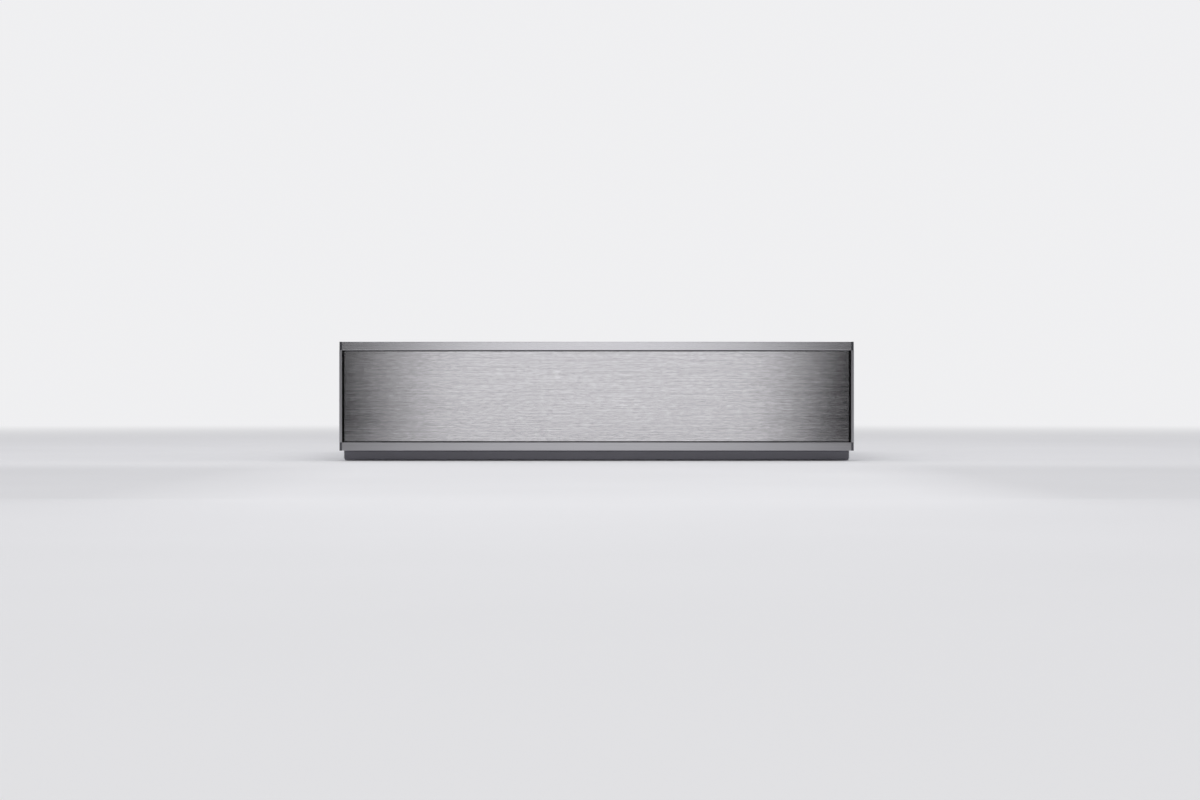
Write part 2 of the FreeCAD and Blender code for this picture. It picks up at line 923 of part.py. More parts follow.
def housing_top_pieces():
    """The rail over the control strip and the cover behind the hinge, with the lid's window between."""
    span = (-half_housing, half_housing)
    level = (cover_bottom, housing_top)
    rail_y = (flange_back, flange_back + Sheet.front_rail_depth)
    cover_y = (cover_front, rear_y)
    for label, y in (("top_front_rail", rail_y), ("top_rear_cover", cover_y)):
        plate = new_body(label)
        drawing = new_sketch(plate, "XY_Plane", level[0])
        oblong(drawing, span, y)
        for x, place_y in cover_screw_places():
            if float(y[0]) < float(place_y) < float(y[1]):
                ring(drawing, x, place_y, Sheet.screw_hole_radius)
        pad(plate, drawing, Sheet.housing_sheet)
        if label == "top_rear_cover":
            vent = new_sketch(plate, "XY_Plane", level[0])
            middle = (cover_front + rear_y) / 2
            start = -half_housing + Sheet.cover_vent_inset
            oblong(vent, (start, start + Sheet.vent_width), centred(middle, Sheet.vent_height / 2))
            slot = pocket_through(plate, vent)
            count = int(float(start * -2) / float(Sheet.vent_pitch)) + 1
            row_of(plate, slot, "X_Axis", Sheet.vent_pitch, count)
        kept(label, plate)


def inlet_place():
    """The middle of the mains inlet, as x and z."""
    return half_inside - Sheet.inlet_inset, housing_floor + Sheet.inlet_lift


def inlet_halves(extra):
    """Half the width and height of the inlet's mouth, and something more all round."""
    return Sheet.inlet_width / 2 + extra, Sheet.inlet_height / 2 + extra


def housing_rear():
    """The rear wall, with its field of vent slots and the cut-out for the mains inlet."""
    wall = new_body("housing_rear")
    drawing = new_sketch(wall, "XZ_Plane", rear_inside)
    oblong(drawing, (-half_inside, half_inside), (Sheet.foot_height, cover_bottom))
    inlet_x, inlet_z = inlet_place()
    cut_x, cut_z = inlet_halves(Sheet.inlet_wall + Sheet.seat_gap)
    oblong(drawing, centred(inlet_x, cut_x), centred(inlet_z, cut_z))
    pad(wall, drawing, Sheet.housing_sheet)
    middle = (housing_floor + cover_bottom) / 2
    vent = new_sketch(wall, "XZ_Plane", rear_inside)
    start = -half_inside + Sheet.rear_vent_inset
    oblong(vent, (start, start + Sheet.vent_width), centred(middle, Sheet.vent_height / 2))
    slot = pocket_through(wall, vent)
    row_of(wall, slot, "X_Axis", Sheet.vent_pitch, REAR_VENTS)
    kept("housing_rear", wall)


def mains_inlet():
    """An appliance inlet with three pins, set in flush from inside."""
    x, z = inlet_place()
    floor_y = rear_y - Sheet.inlet_depth
    mouth_x, mouth_z = inlet_halves(0)
    shell_x, shell_z = inlet_halves(Sheet.inlet_wall)
    flange = box(
        "inlet_flange",
        centred(x, shell_x + Sheet.inlet_lip),
        (rear_inside - Sheet.inlet_wall, rear_inside),
        centred(z, shell_z + Sheet.inlet_lip_height),
    )
    body_y = (floor_y - Sheet.inlet_back, rear_y)
    body = box("inlet_body", centred(x, shell_x), body_y, centred(z, shell_z))
    cavity_y = (floor_y, rear_y + PROUD)
    cavity = box("inlet_cavity", centred(x, mouth_x), cavity_y, centred(z, mouth_z))
    shell = cut("inlet_shell", fused("inlet_outer", [flange, body]), [cavity])
    pin_y = (floor_y - OVERLAP, rear_y - Sheet.inlet_pin_setback)
    spread, drop = Sheet.inlet_pin_spread, Sheet.inlet_pin_drop
    pin_places = ((-spread, -drop), (0, Sheet.inlet_earth_rise), (spread, -drop))
    pins = [
        box(
            f"inlet_pin_{index}",
            centred(x + across, Sheet.inlet_pin_width / 2),
            pin_y,
            centred(z + up, Sheet.inlet_pin_height / 2),
        )
        for index, (across, up) in enumerate(pin_places)
    ]
    kept("power_inlet", fused("power_inlet", [shell, *pins]))


def push_latch():
    """The push-to-open latch behind the drawer, and its plunger, pressed in when the drawer is pushed."""
    head_front = drawer_back + Sheet.seat_gap
    head_back = head_front + Sheet.latch_head_length
    body_front = head_back + Sheet.latch_travel + Sheet.latch_end_gap
    block = box(
        "latch_block",
        centred(0, Sheet.latch_width / 2),
        (body_front, rear_inside),
        centred(machine_level, Sheet.latch_height / 2),
    )
    flange = box(
        "latch_flange",
        centred(0, Sheet.latch_width / 2 + Sheet.latch_lip),
        (rear_inside - Sheet.latch_sheet, rear_inside),
        centred(machine_level, Sheet.latch_height / 2 + Sheet.latch_lip_height),
    )
    bore_start = (0, body_front - PROUD, machine_level)
    bore_radius = Sheet.latch_radius + Sheet.shaft_play
    bore = rod("latch_bore", "Y", bore_start, Sheet.latch_bore + PROUD, bore_radius)
    kept("push_latch_body", cut("push_latch_body", fused("latch_outer", [block, flange]), [bore]))
    head_start = (0, head_front, machine_level)
    head = rod("plunger_head", "Y", head_start, Sheet.latch_head_length, Sheet.latch_head_radius)
    stem_end = body_front + Sheet.latch_bore - Sheet.latch_travel - Sheet.latch_end_gap
    stem_start = (0, head_back, machine_level)
    stem = rod("plunger_stem", "Y", stem_start, stem_end - head_back, Sheet.latch_radius)
    kept("latch_plunger", fused("latch_plunger", [head, stem]))


def housing_fasteners():
    """The screws of the top pieces and the buffers that the front closes against."""
    screws = [
        screw(f"cover_screw_{index}", "Z", (x, y, housing_top), Sheet.housing_sheet)
        for index, (x, y) in enumerate(cover_screw_places())
    ]
    kept("housing_screws", group("housing_screws", screws))
    x = (half_housing + half_flange) / 2
    levels = {"low": Sheet.buffer_level, "high": cover_bottom - Sheet.buffer_drop}
    buffers = []
    for name, side in SIDES.items():
        for end, level in levels.items():
            start = (x * side, flange_front - Sheet.buffer_height, level)
            label = f"buffer_{name}_{end}"
            buffers.append(rod(label, "Y", start, Sheet.buffer_height, Sheet.buffer_radius))
    kept("front_buffers", group("front_buffers", buffers))


def channel(name, side, web, tip, low, high, y, thickness):
    """A rolled C member: its web at one x, its two legs reaching to another."""
    direction = 1 if float(tip) > float(web) else -1
    inner = web + thickness * direction
    body = new_body(name)
    section = new_sketch(body, "XZ_Plane", y[0])
    points = [
        (web, low),
        (tip, low),
        (tip, low + thickness),
        (inner, low + thickness),
        (inner, high - thickness),
        (tip, high - thickness),
        (tip, high),
        (web, high),
    ]
    outline(section, [(x * side, z) for x, z in points])
    pad(body, section, y[1] - y[0])
    return body


def ball_cage(name, side, web, ball_x, low, high):
    """A bent cage with a row of balls above and below, between two runner members."""
    start = runner_front + Sheet.cage_start
    half_sheet = Sheet.cage_sheet / 2
    tip = ball_x - Sheet.ball_radius - Sheet.cage_lip
    strip = channel(
        f"{name}_strip",
        side,
        web,
        tip,
        low - half_sheet,
        high + half_sheet,
        (start, start + Sheet.cage_length),
        Sheet.cage_sheet,
    )
    balls = []
    pitch = (Sheet.cage_length - Sheet.ball_inset * 2) / (CAGE_BALLS - 1)
    for index in range(CAGE_BALLS):
        for end, level in (("low", low), ("high", high)):
            ball = doc.addObject("Part::Sphere", f"{name}_ball_{end}_{index}")
            bind(ball, "Radius", Sheet.ball_radius)
            place(ball, ball_x * side, start + Sheet.ball_inset + pitch * index, level)
            balls.append(ball)
    return fused(name, [strip, *balls])


def runners():
    """Three nested members each side, with balls between them, so that the drawer comes right out."""
    bottom = Sheet.runner_level
    top = bottom + Sheet.runner_height
    ball_drop = Sheet.runner_sheet + Sheet.ball_radius + Sheet.ball_play
    step = ball_drop + Sheet.ball_radius + Sheet.ball_play
    cage_step = Sheet.cage_sheet + Sheet.cage_play
    full = (runner_front, runner_back)
    short = (runner_front + Sheet.middle_shortening, runner_back - Sheet.middle_shortening)
    outer_tip = half_drawer + Sheet.runner_overhang
    outer_cage_web = half_inside - Sheet.runner_sheet - Sheet.cage_play
    middle_web = outer_cage_web - cage_step
    middle_tip = half_drawer + Sheet.middle_overhang
    inner_cage_web = middle_web - Sheet.runner_sheet - Sheet.cage_play
    inner_tip = inner_cage_web - cage_step
    members = {
        "outer_runner": (half_inside, outer_tip, 0, full),
        "middle_runner": (middle_web, middle_tip, 1, short),
        "inner_runner": (half_drawer, inner_tip, 2, full),
    }
    cages = {
        "outer_ball_cage": (outer_cage_web, (outer_tip + middle_web + Sheet.outer_ball_shift) / 2, 0),
        "inner_ball_cage": (inner_cage_web, (middle_tip + inner_tip) / 2, 1),
    }
    for name, (web, tip, depth, y) in members.items():
        low, high = bottom + step * depth, top - step * depth
        pair = [
            channel(f"{name}_{end}", side, web, tip, low, high, y, Sheet.runner_sheet)
            for end, side in SIDES.items()
        ]
        kept(f"{name}s", group(f"{name}s", pair))
    for name, (web, ball_x, depth) in cages.items():
        low = bottom + ball_drop + step * depth
        high = top - ball_drop - step * depth
        pair = [
            ball_cage(f"{name}_{end}", side, web, ball_x, low, high) for end, side in SIDES.items()
        ]
        kept(f"{name}s", group(f"{name}s", pair))


def drawer_side(name, side):
    """One side of the drawer, folded in at the front to the flange that is screwed to the front."""
    label = f"drawer_side_{name}"
    wall = new_body(label)
    plan = new_sketch(wall, "XY_Plane", drawer_floor_top)
    fold = front_back + Sheet.drawer_sheet
    outline(
        plan,
        [
            (half_drawer * side, front_back),
            (half_drawer * side, drawer_back),
            (half_bay * side, drawer_back),
            (half_bay * side, fold),
            ((half_bay - Sheet.side_flange) * side, fold),
            ((half_bay - Sheet.side_flange) * side, front_back),
        ],
    )
    pad(wall, plan, deck_bottom - drawer_floor_top)
    holes = new_sketch(wall, "XZ_Plane", front_back)
    for x, z in front_screw_places():
        if float(x) * side > 0:
            ring(holes, x, z, Sheet.screw_hole_radius)
    pocket_through(wall, holes)
    kept(label, wall)


def drawer_floor_and_rear():
    """The drawer's floor, and its rear wall with a field of vent slots behind the pump."""
    x = (-half_drawer, half_drawer)
    y = (front_back, drawer_back)
    kept("drawer_floor", box("drawer_floor", x, y, (drawer_bottom, drawer_floor_top)))
    rear = new_body("drawer_rear")
    drawing = new_sketch(rear, "XZ_Plane", drawer_back - Sheet.drawer_sheet)
    oblong(drawing, (-half_bay, half_bay), (drawer_floor_top, deck_bottom))
    pad(rear, drawing, Sheet.drawer_sheet)
    vent = new_sketch(rear, "XZ_Plane", drawer_back)
    start = -half_bay + Sheet.rear_vent_inset
    across = (start, start + Sheet.vent_width)
    oblong(vent, across, centred(machine_level, Sheet.vent_height / 2))
    slot = pocket_through(rear, vent)
    row_of(rear, slot, "X_Axis", Sheet.vent_pitch, REAR_VENTS)
    kept("drawer_rear", rear)


def deck_plate():
    """The sheet round the chamber, which covers the machine parts."""
    deck = new_body("deck_plate")
    drawing = new_sketch(deck, "XY_Plane", deck_bottom)
    oblong(drawing, (-half_drawer, half_drawer), (front_back, drawer_back))
    pad(deck, drawing, Sheet.drawer_sheet)
    hole = new_sketch(deck, "XY_Plane", deck_bottom)
    clear = Sheet.chamber_sheet + Sheet.chamber_fit
    across = (-half_chamber - clear, half_chamber + clear)
    oblong(hole, across, (chamber_front - clear, chamber_back + clear))
    pocket_through(deck, hole)
    outer_x = float(half_drawer)
    dress(
        deck,
        "Fillet",
        "Radius",
        Sheet.chamber_corner + clear,
        lambda edge: along(edge, Z_AXIS) and abs(edge.BoundBox.XMax) < outer_x - PROUD,
    )
    kept("deck_plate", deck)


def control_strip():
    """The housing of the touch controls, its board and the black glass over them."""
    x = (-half_control, half_control)
    y = (control_front, control_back)
    glass_bottom = lid_top - Sheet.control_glass
    wall = Sheet.control_wall
    tray_floor = deck_top + wall
    outer = box("control_outer", x, y, (deck_top, glass_bottom))
    inner = box(
        "control_inner",
        (x[0] + wall, x[1] - wall),
        (y[0] + wall, y[1] - wall),
        (tray_floor, glass_bottom + PROUD),
    )
    middle = (y[0] + y[1]) / 2
    half_length = Sheet.touch_key_pitch * (TOUCH_KEYS + 1) / 2
    half_depth = Sheet.board_depth / 2
    boss_x = half_length - Sheet.board_boss_inset
    boss_y = half_depth - Sheet.board_boss_inset
    bosses = []
    for side in SIDES.values():
        for end in SIDES.values():
            start = (boss_x * side, middle + boss_y * end, tray_floor)
            name = f"control_boss_{len(bosses)}"
            bosses.append(rod(name, "Z", start, Sheet.board_lift, Sheet.board_boss_radius))
    tray = cut("control_tray", outer, [inner])
    kept("control_housing", fused("control_housing", [tray, *bosses]))
    board_bottom = tray_floor + Sheet.board_lift
    board_top = board_bottom + Sheet.board_thickness
    plate = box(
        "board_plate",
        (-half_length, half_length),
        centred(middle, half_depth),
        (board_bottom, board_top),
    )
    chip = box(
        "board_chip",
        centred(0, Sheet.chip_width / 2),
        centred(middle, Sheet.chip_width / 2),
        (board_top, board_top + Sheet.chip_height),
    )
    sensors = []
    for index in range(TOUCH_KEYS):
        across = Sheet.touch_key_pitch * (index - (TOUCH_KEYS - 1) / 2)
        start = (across, middle, board_top)
        length = glass_bottom - board_top
        name = f"touch_sensor_{index}"
        sensors.append(rod(name, "Z", start, length, Sheet.touch_sensor_radius))
    kept("control_board", fused("control_board", [plate, chip, *sensors]))
    glass = new_body("control_glass")
    drawing = new_sketch(glass, "XY_Plane", glass_bottom)
    oblong(drawing, x, y)
    pad(glass, drawing, Sheet.control_glass)
    dress(glass, "Chamfer", "Size", Sheet.pane_chamfer, lambda edge: near(edge, z=lid_top))
    kept("control_glass", glass)


def piston_places():
    return [piston_x * side for side in SIDES.values()]


def chamber():
    """The deep-drawn stainless tub with its rim, and the holes for the port and the cylinders."""
    tub = new_body("chamber_tub")
    wall = Sheet.chamber_sheet
    floor_bottom = chamber_floor - wall
    plan = new_sketch(tub, "XY_Plane", floor_bottom)
    oblong(plan, (-half_tub, half_tub), (chamber_front - wall, chamber_back + wall))
    pad(tub, plan, deck_top - floor_bottom)
    dress(tub, "Fillet", "Radius", Sheet.chamber_corner + wall, lambda edge: along(edge, Z_AXIS))
    dress(
        tub,
        "Fillet",
        "Radius",
        Sheet.chamber_floor_rounding + wall,
        lambda edge: near(edge, z=floor_bottom),
    )
    rim = new_sketch(tub, "XY_Plane", deck_top)
    rim_half = half_chamber + Sheet.chamber_rim
    rim_y = (chamber_front - Sheet.chamber_rim_end, chamber_back + Sheet.chamber_rim_end)
    oblong(rim, (-rim_half, rim_half), rim_y)
    pad(tub, rim, wall)
    dress(
        tub,
        "Fillet",
        "Radius",
        Sheet.chamber_rim_corner,
        lambda edge: along(edge, Z_AXIS) and abs(edge.BoundBox.XMax) > float(half_tub) + PROUD,
    )
    void = new_body("chamber_void")
    inside = new_sketch(void, "XY_Plane", chamber_floor)
    oblong(inside, (-half_chamber, half_chamber), (chamber_front, chamber_back))
    pad(void, inside, rim_top + PROUD - chamber_floor)
    dress(void, "Fillet", "Radius", Sheet.chamber_corner, lambda edge: along(edge, Z_AXIS))
    dress(
        void,
        "Fillet",
        "Radius",
        Sheet.chamber_floor_rounding,
        lambda edge: near(edge, z=chamber_floor),
    )
    through = wall + PROUD * 2
    port_start = (-half_tub - PROUD, port_y, port_level)
    bores = [rod("port_hole", "X", port_start, through, barb_radius + Sheet.seat_gap)]
    for index, x in enumerate(piston_places()):
        lift_start = (x, bar_y, floor_bottom - PROUD)
        lift_radius = Sheet.cylinder_stub_radius + Sheet.seat_gap
        bores.append(rod(f"lift_hole_{index}", "Z", lift_start, through, lift_radius))
    kept("chamber", cut("chamber", tub, [void, *bores]))


def suction_port():
    """The hose nipple through the chamber wall, and the slotted filter cap on it inside."""
    y, z = port_y, port_level
    nipple_end = -half_tub - Sheet.port_reach
    cap_start = -half_chamber + Sheet.port_collar
    cap_end = cap_start + Sheet.filter_cap_depth
    nipple_length = cap_start - nipple_end
    collar_radius = Sheet.port_collar_radius
    way_radius = barb_radius - Sheet.port_wall
    nipple = rod("port_nipple", "X", (nipple_end, y, z), nipple_length, barb_radius)
    nut_start = (-half_tub - Sheet.port_nut, y, z)
    nut = rod("port_nut", "X", nut_start, Sheet.port_nut, collar_radius)
    collar = rod("port_collar", "X", (-half_chamber, y, z), Sheet.port_collar, collar_radius)
    way_start = (nipple_end - PROUD, y, z)
    way = rod("port_way", "X", way_start, nipple_length + PROUD * 2, way_radius)
    port = cut("port_body", fused("port_outer", [nipple, nut, collar]), [way])
    wall = Sheet.filter_cap_wall
    hollow_radius = Sheet.filter_cap_radius - wall
    cap = rod("cap_outer", "X", (cap_start, y, z), Sheet.filter_cap_depth, Sheet.filter_cap_radius)
    hollow_length = Sheet.filter_cap_depth - wall * 2
    hollow = rod("cap_hollow", "X", (cap_start + wall, y, z), hollow_length, hollow_radius)
    mouth = rod("cap_mouth", "X", (cap_start - PROUD, y, z), wall + PROUD * 2, way_radius)
    slots = []
    for index in range(FILTER_SLOTS):
        level = z + Sheet.filter_slot_pitch * (index - (FILTER_SLOTS - 1) / 2)
        slots.append(
            box(
                f"cap_slot_{index}",
                (cap_end - wall - PROUD, cap_end + PROUD),
                centred(y, Sheet.filter_slot_length / 2),
                centred(level, Sheet.filter_slot_width / 2),
            )
        )
    filter_cap = cut("filter_cap", cap, [hollow, mouth, *slots])
    kept("suction_port", group("suction_port", [port, filter_cap]))


def lift_cylinders():
    """Two small cylinders on the chamber floor, fed from below, and the pistons in them."""
    cylinders = []
    pistons = []
    cylinder_top = bar_bottom - Sheet.cylinder_gap
    bore_bottom = chamber_floor + Sheet.cylinder_base
    under = chamber_floor - Sheet.chamber_sheet
    half_block = Sheet.cylinder_block / 2
    foot_radius = Sheet.bar_inset - Sheet.chamber_floor_rounding - Sheet.seat_gap
    shell_radius = Sheet.piston_radius + Sheet.cylinder_wall
    shell_height = cylinder_top - chamber_floor
    barb_reach = half_block + Sheet.barb_length / 2
    piston_bottom = bore_bottom + Sheet.piston_end_gap
    for index, x in enumerate(piston_places()):
        floor_point = (x, bar_y, chamber_floor)
        shell = rod(f"cylinder_shell_{index}", "Z", floor_point, shell_height, shell_radius)
        foot = rod(f"cylinder_foot_{index}", "Z", floor_point, Sheet.cylinder_foot, foot_radius)
        stub = rod(
            f"cylinder_stub_{index}",
            "Z",
            (x, bar_y, under - OVERLAP),
            Sheet.chamber_sheet + OVERLAP * 2,
            Sheet.cylinder_stub_radius,
        )
        block = box(
            f"cylinder_block_{index}",
            centred(x, half_block),
            centred(bar_y, half_block),
            (hose_level - Sheet.thin_hose_radius - Sheet.hose_end_gap, under),
        )
        barb_start = (x - barb_reach, bar_y, hose_level)
        barb = rod(f"cylinder_barb_{index}", "X", barb_start, barb_reach * 2, thin_barb_radius)
        bore = rod(
            f"cylinder_bore_{index}",
            "Z",
            (x, bar_y, bore_bottom),
            cylinder_top - bore_bottom + PROUD,
            Sheet.piston_radius + Sheet.piston_play,
        )
        body = fused(f"cylinder_outer_{index}", [shell, foot, stub, block, barb])
        cylinders.append(cut(f"cylinder_{index}", body, [bore]))
        piston_start = (x, bar_y, piston_bottom)
        piston_length = bar_bottom - piston_bottom
        pistons.append(rod(f"piston_{index}", "Z", piston_start, piston_length, Sheet.piston_radius))
    kept("lift_cylinders", group("lift_cylinders", cylinders))
    kept("lift_pistons", group("lift_pistons", pistons))


def sealing_bar():
    """The aluminium bar with the tape over its heating wires, which rises to press the bag shut."""
    y = centred(bar_y, Sheet.bar_depth / 2)
    waist = Sheet.bar_waist
    waist_top = bar_bottom + Sheet.bar_waist_height
    shoulder = waist_top + Sheet.bar_shoulder
    points = [
        (y[0] + waist, bar_bottom),
        (y[1] - waist, bar_bottom),
        (y[1] - waist, waist_top),
        (y[1], shoulder),
        (y[1], bar_top),
        (y[0], bar_top),
        (y[0], shoulder),
        (y[0] + waist, waist_top),
    ]
    kept("sealing_bar", extrusion("sealing_bar", points, half_bar))
    tape = Sheet.tape_sheet
    leg_bottom = bar_top - Sheet.tape_leg
    cover = [
        (y[0] - tape, leg_bottom),
        (y[0], leg_bottom),
        (y[0], bar_top),
        (y[1], bar_top),
        (y[1], leg_bottom),
        (y[1] + tape, leg_bottom),
        (y[1] + tape, tape_top),
        (y[0] - tape, tape_top),
    ]
    kept("sealing_tape", extrusion("sealing_tape", cover, half_bar - Sheet.tape_end_gap))


def bag_clip():
    """The sprung clip that holds the bag's neck, and its bracket on the chamber's front wall."""
    half = Sheet.clip_half_width
    outer = half + Sheet.clip_ear
    jaw_bottom = clip_level - Sheet.clip_jaw
    plate_back = chamber_front + Sheet.clip_sheet
    plate_z = (jaw_bottom, clip_level + Sheet.clip_plate_rise)
    plate = box("clip_plate", (-outer, outer), (chamber_front, plate_back), plate_z)
    ear_y = (plate_back - OVERLAP, clip_y + Sheet.clip_barrel_radius)
    ear_z = centred(clip_level, Sheet.clip_ear_height / 2)
    ears = [
        box(f"clip_ear_{name}", mirrored(side, half, outer), ear_y, ear_z)
        for name, side in SIDES.items()
    ]
    pin = rod("clip_pin", "X", (-outer, clip_y, clip_level), outer * 2, Sheet.clip_pin_radius)
    kept("bag_clip_bracket", fused("bag_clip_bracket", [plate, *ears, pin]))
    inside = half - Sheet.clip_side_gap
    barrel_start = (-inside, clip_y, clip_level)
    barrel = rod("clip_barrel", "X", barrel_start, inside * 2, Sheet.clip_barrel_radius)
    jaw_front = plate_back + Sheet.seat_gap
    jaw_y = (jaw_front, jaw_front + Sheet.clip_sheet)
    jaw = box("clip_jaw", (-inside, inside), jaw_y, (jaw_bottom, clip_level))
    tab_back = clip_y + Sheet.clip_barrel_radius - Sheet.clip_side_gap
    tab_y = (tab_back - Sheet.clip_sheet, tab_back)
    tab_z = (clip_level, clip_level + Sheet.clip_tab)
    tab = box("clip_tab", centred(0, Sheet.clip_tab_width / 2), tab_y, tab_z)
    bore_start = (-half, clip_y, clip_level)
    bore_radius = Sheet.clip_pin_radius + Sheet.hinge_running_gap
    bore = rod("clip_bore", "X", bore_start, half * 2, bore_radius)
    kept("bag_clip", cut("bag_clip", fused("clip_leaf", [barrel, jaw, tab]), [bore]))


def lid():
    """The glass lid, its front trim, and the rear profile that holds it and carries the hinge barrels."""
    glass = new_body("lid_glass")
    plan = new_sketch(glass, "XY_Plane", lid_bottom)
    oblong(plan, (-half_lid, half_lid), (lid_front, lid_back))
    pad(glass, plan, Sheet.lid_thickness)
    dress(
        glass,
        "Chamfer",
        "Size",
        Sheet.lid_chamfer,
        lambda edge: along(edge, Y_AXIS),
    )
    kept("lid_glass", glass)
    trim_front = lid_front - Sheet.lid_trim
    lip_back = lid_front + Sheet.lid_trim_lip
    lip_top = lid_top + Sheet.lid_trim_cheek
    trim_points = [
        (trim_front, lid_bottom),
        (lid_front, lid_bottom),
        (lid_front, lid_top),
        (lip_back, lid_top),
        (lip_back, lip_top),
        (trim_front, lip_top),
    ]
    trim = extrusion("lid_front_trim", trim_points, half_lid)
    dress(
        trim,
        "Fillet",
        "Radius",
        Sheet.rail_rounding,
        lambda edge: along(edge, X_AXIS) and near(edge, y=trim_front),
    )
    kept("lid_front_trim", trim)
    grip_front = lid_back - Sheet.lid_rear_grip
    low = lid_bottom - Sheet.lid_rear_cheek
    high = lid_top + Sheet.lid_rear_cheek
    profile = extrusion(
        "lid_rear_extrusion",
        [
            (grip_front, low),
            (lid_web_back, low),
            (lid_web_back, high),
            (grip_front, high),
            (grip_front, lid_top),
            (lid_back, lid_top),
            (lid_back, lid_bottom),
            (grip_front, lid_bottom),
        ],
        half_lid,
    )
    barrels = []
    bores = []
    half_barrel = Sheet.hinge_barrel_length / 2
    length = half_barrel * 2
    radius = Sheet.hinge_barrel_radius
    arm_y = (lid_web_back - OVERLAP, hinge_y)
    arm_z = (hinge_level - Sheet.hinge_arm_drop, hinge_level + radius)
    bore_radius = Sheet.hinge_pin_radius + Sheet.hinge_running_gap
    for name, side in SIDES.items():
        start = hinge_x * side - half_barrel
        barrels.append(rod(f"barrel_{name}", "X", (start, hinge_y, hinge_level), length, radius))
        barrels.append(box(f"barrel_arm_{name}", (start, start + length), arm_y, arm_z))
        bore_start = (start - PROUD, hinge_y, hinge_level)
        bores.append(rod(f"barrel_bore_{name}", "X", bore_start, length + PROUD * 2, bore_radius))
    kept(
        "lid_rear_profile",
        cut("lid_rear_profile", fused("lid_rear_joined", [profile, *barrels]), bores),
    )


def lid_seal():
    """The silicone ring under the glass that closes on the chamber's rim."""
    seal = new_body("lid_seal")
    plan = new_sketch(seal, "XY_Plane", lid_bottom - Sheet.seal_height)
    reach = Sheet.seal_inset + Sheet.seal_width
    for edge in (reach, Sheet.seal_inset):
        half = half_chamber + edge
        oblong(plan, (-half, half), (chamber_front - edge, chamber_back + edge))
    pad(seal, plan, Sheet.seal_height)
    inner_x = float(half_chamber + Sheet.seal_inset)
    dress(
        seal,
        "Fillet",
        "Radius",
        Sheet.chamber_corner + Sheet.seal_inset,
        lambda edge: along(edge, Z_AXIS) and abs(abs(edge.BoundBox.XMax) - inner_x) < 0.1,
    )
    outer_x = float(half_chamber + reach)
    dress(
        seal,
        "Fillet",
        "Radius",
        Sheet.chamber_corner + reach,
        lambda edge: along(edge, Z_AXIS) and abs(abs(edge.BoundBox.XMax) - outer_x) < 0.1,
    )
    kept("lid_seal", seal)


def counter_bar():
    """The silicone bar that the bag is pressed against, in its channel under the glass."""
    bar = centred(bar_y, Sheet.counter_bar_depth / 2)
    channel_y = (bar[0] - Sheet.counter_holder_wall, bar[1] + Sheet.counter_holder_wall)
    bottom = lid_bottom - Sheet.counter_holder_height
    seat = lid_bottom - Sheet.counter_holder_height / 2
    half = half_bar + Sheet.counter_bar_overlap
    points = [
        (channel_y[0], bottom),
        (bar[0], bottom),
        (bar[0], seat),
        (bar[1], seat),
        (bar[1], bottom),
        (channel_y[1], bottom),
        (channel_y[1], lid_bottom),
        (channel_y[0], lid_bottom),
    ]
    kept("counter_bar_holder", extrusion("counter_bar_holder", points, half))
    section = [
        (bar[0], counter_bottom),
        (bar[1], counter_bottom),
        (bar[1], seat),
        (bar[0], seat),
    ]
    rubber = extrusion("counter_bar", section, half)
    dress(
        rubber,
        "Fillet",
        "Radius",
        Sheet.counter_bar_rounding,
        lambda edge: along(edge, X_AXIS) and near(edge, z=counter_bottom),
    )
    kept("counter_bar", rubber)


def lid_hinges():
    """The two brackets on the deck behind the lid, and their pins."""
    brackets = []
    pins = []
    half_gap = Sheet.hinge_barrel_length / 2 + Sheet.hinge_side_gap
    ear = Sheet.hinge_ear
    half_outer = half_gap + ear
    radius = Sheet.hinge_barrel_radius + Sheet.hinge_eye_wall
    base_y = (hinge_y - radius, hinge_y - radius + Sheet.hinge_base_depth)
    base_z = (deck_top, deck_top + Sheet.hinge_base_height)
    for name, side in SIDES.items():
        middle = hinge_x * side
        pieces = [box(f"hinge_base_{name}", centred(middle, half_outer), base_y, base_z)]
        for end, start_x in (("left", middle - half_outer), ("right", middle + half_gap)):
            span = (start_x, start_x + ear)
            eye_start = (start_x, hinge_y, hinge_level)
            wall_z = (deck_top, hinge_level)
            pieces.append(box(f"hinge_ear_{name}_{end}", span, centred(hinge_y, radius), wall_z))
            pieces.append(rod(f"hinge_eye_{name}_{end}", "X", eye_start, ear, radius))
        start_x = middle - half_outer
        length = half_outer * 2
        hole_start = (start_x - PROUD, hinge_y, hinge_level)
        hole = rod(f"hinge_hole_{name}", "X", hole_start, length + PROUD * 2, Sheet.hinge_pin_radius)
        brackets.append(cut(f"hinge_bracket_{name}", fused(f"hinge_outer_{name}", pieces), [hole]))
        pin_start = (start_x, hinge_y, hinge_level)
        pin = rod(f"hinge_shank_{name}", "X", pin_start, length, Sheet.hinge_pin_radius)
        head_length = Sheet.hinge_head_length
        head_x = start_x + length if side > 0 else start_x - head_length
        head_radius = Sheet.hinge_pin_radius + Sheet.hinge_head_lip
        head_start = (head_x, hinge_y, hinge_level)
        head = rod(f"hinge_head_{name}", "X", head_start, head_length, head_radius)
        pins.append(fused(f"hinge_pin_{name}", [pin, head]))
    kept("hinge_brackets", group("hinge_brackets", brackets))
    kept("hinge_pins", group("hinge_pins", pins))


def pump_foot_places():
    """The middle of each of the pump's two feet, as x."""
    return (pump_left + Sheet.pump_foot_inset, pump_right - Sheet.pump_foot_inset)


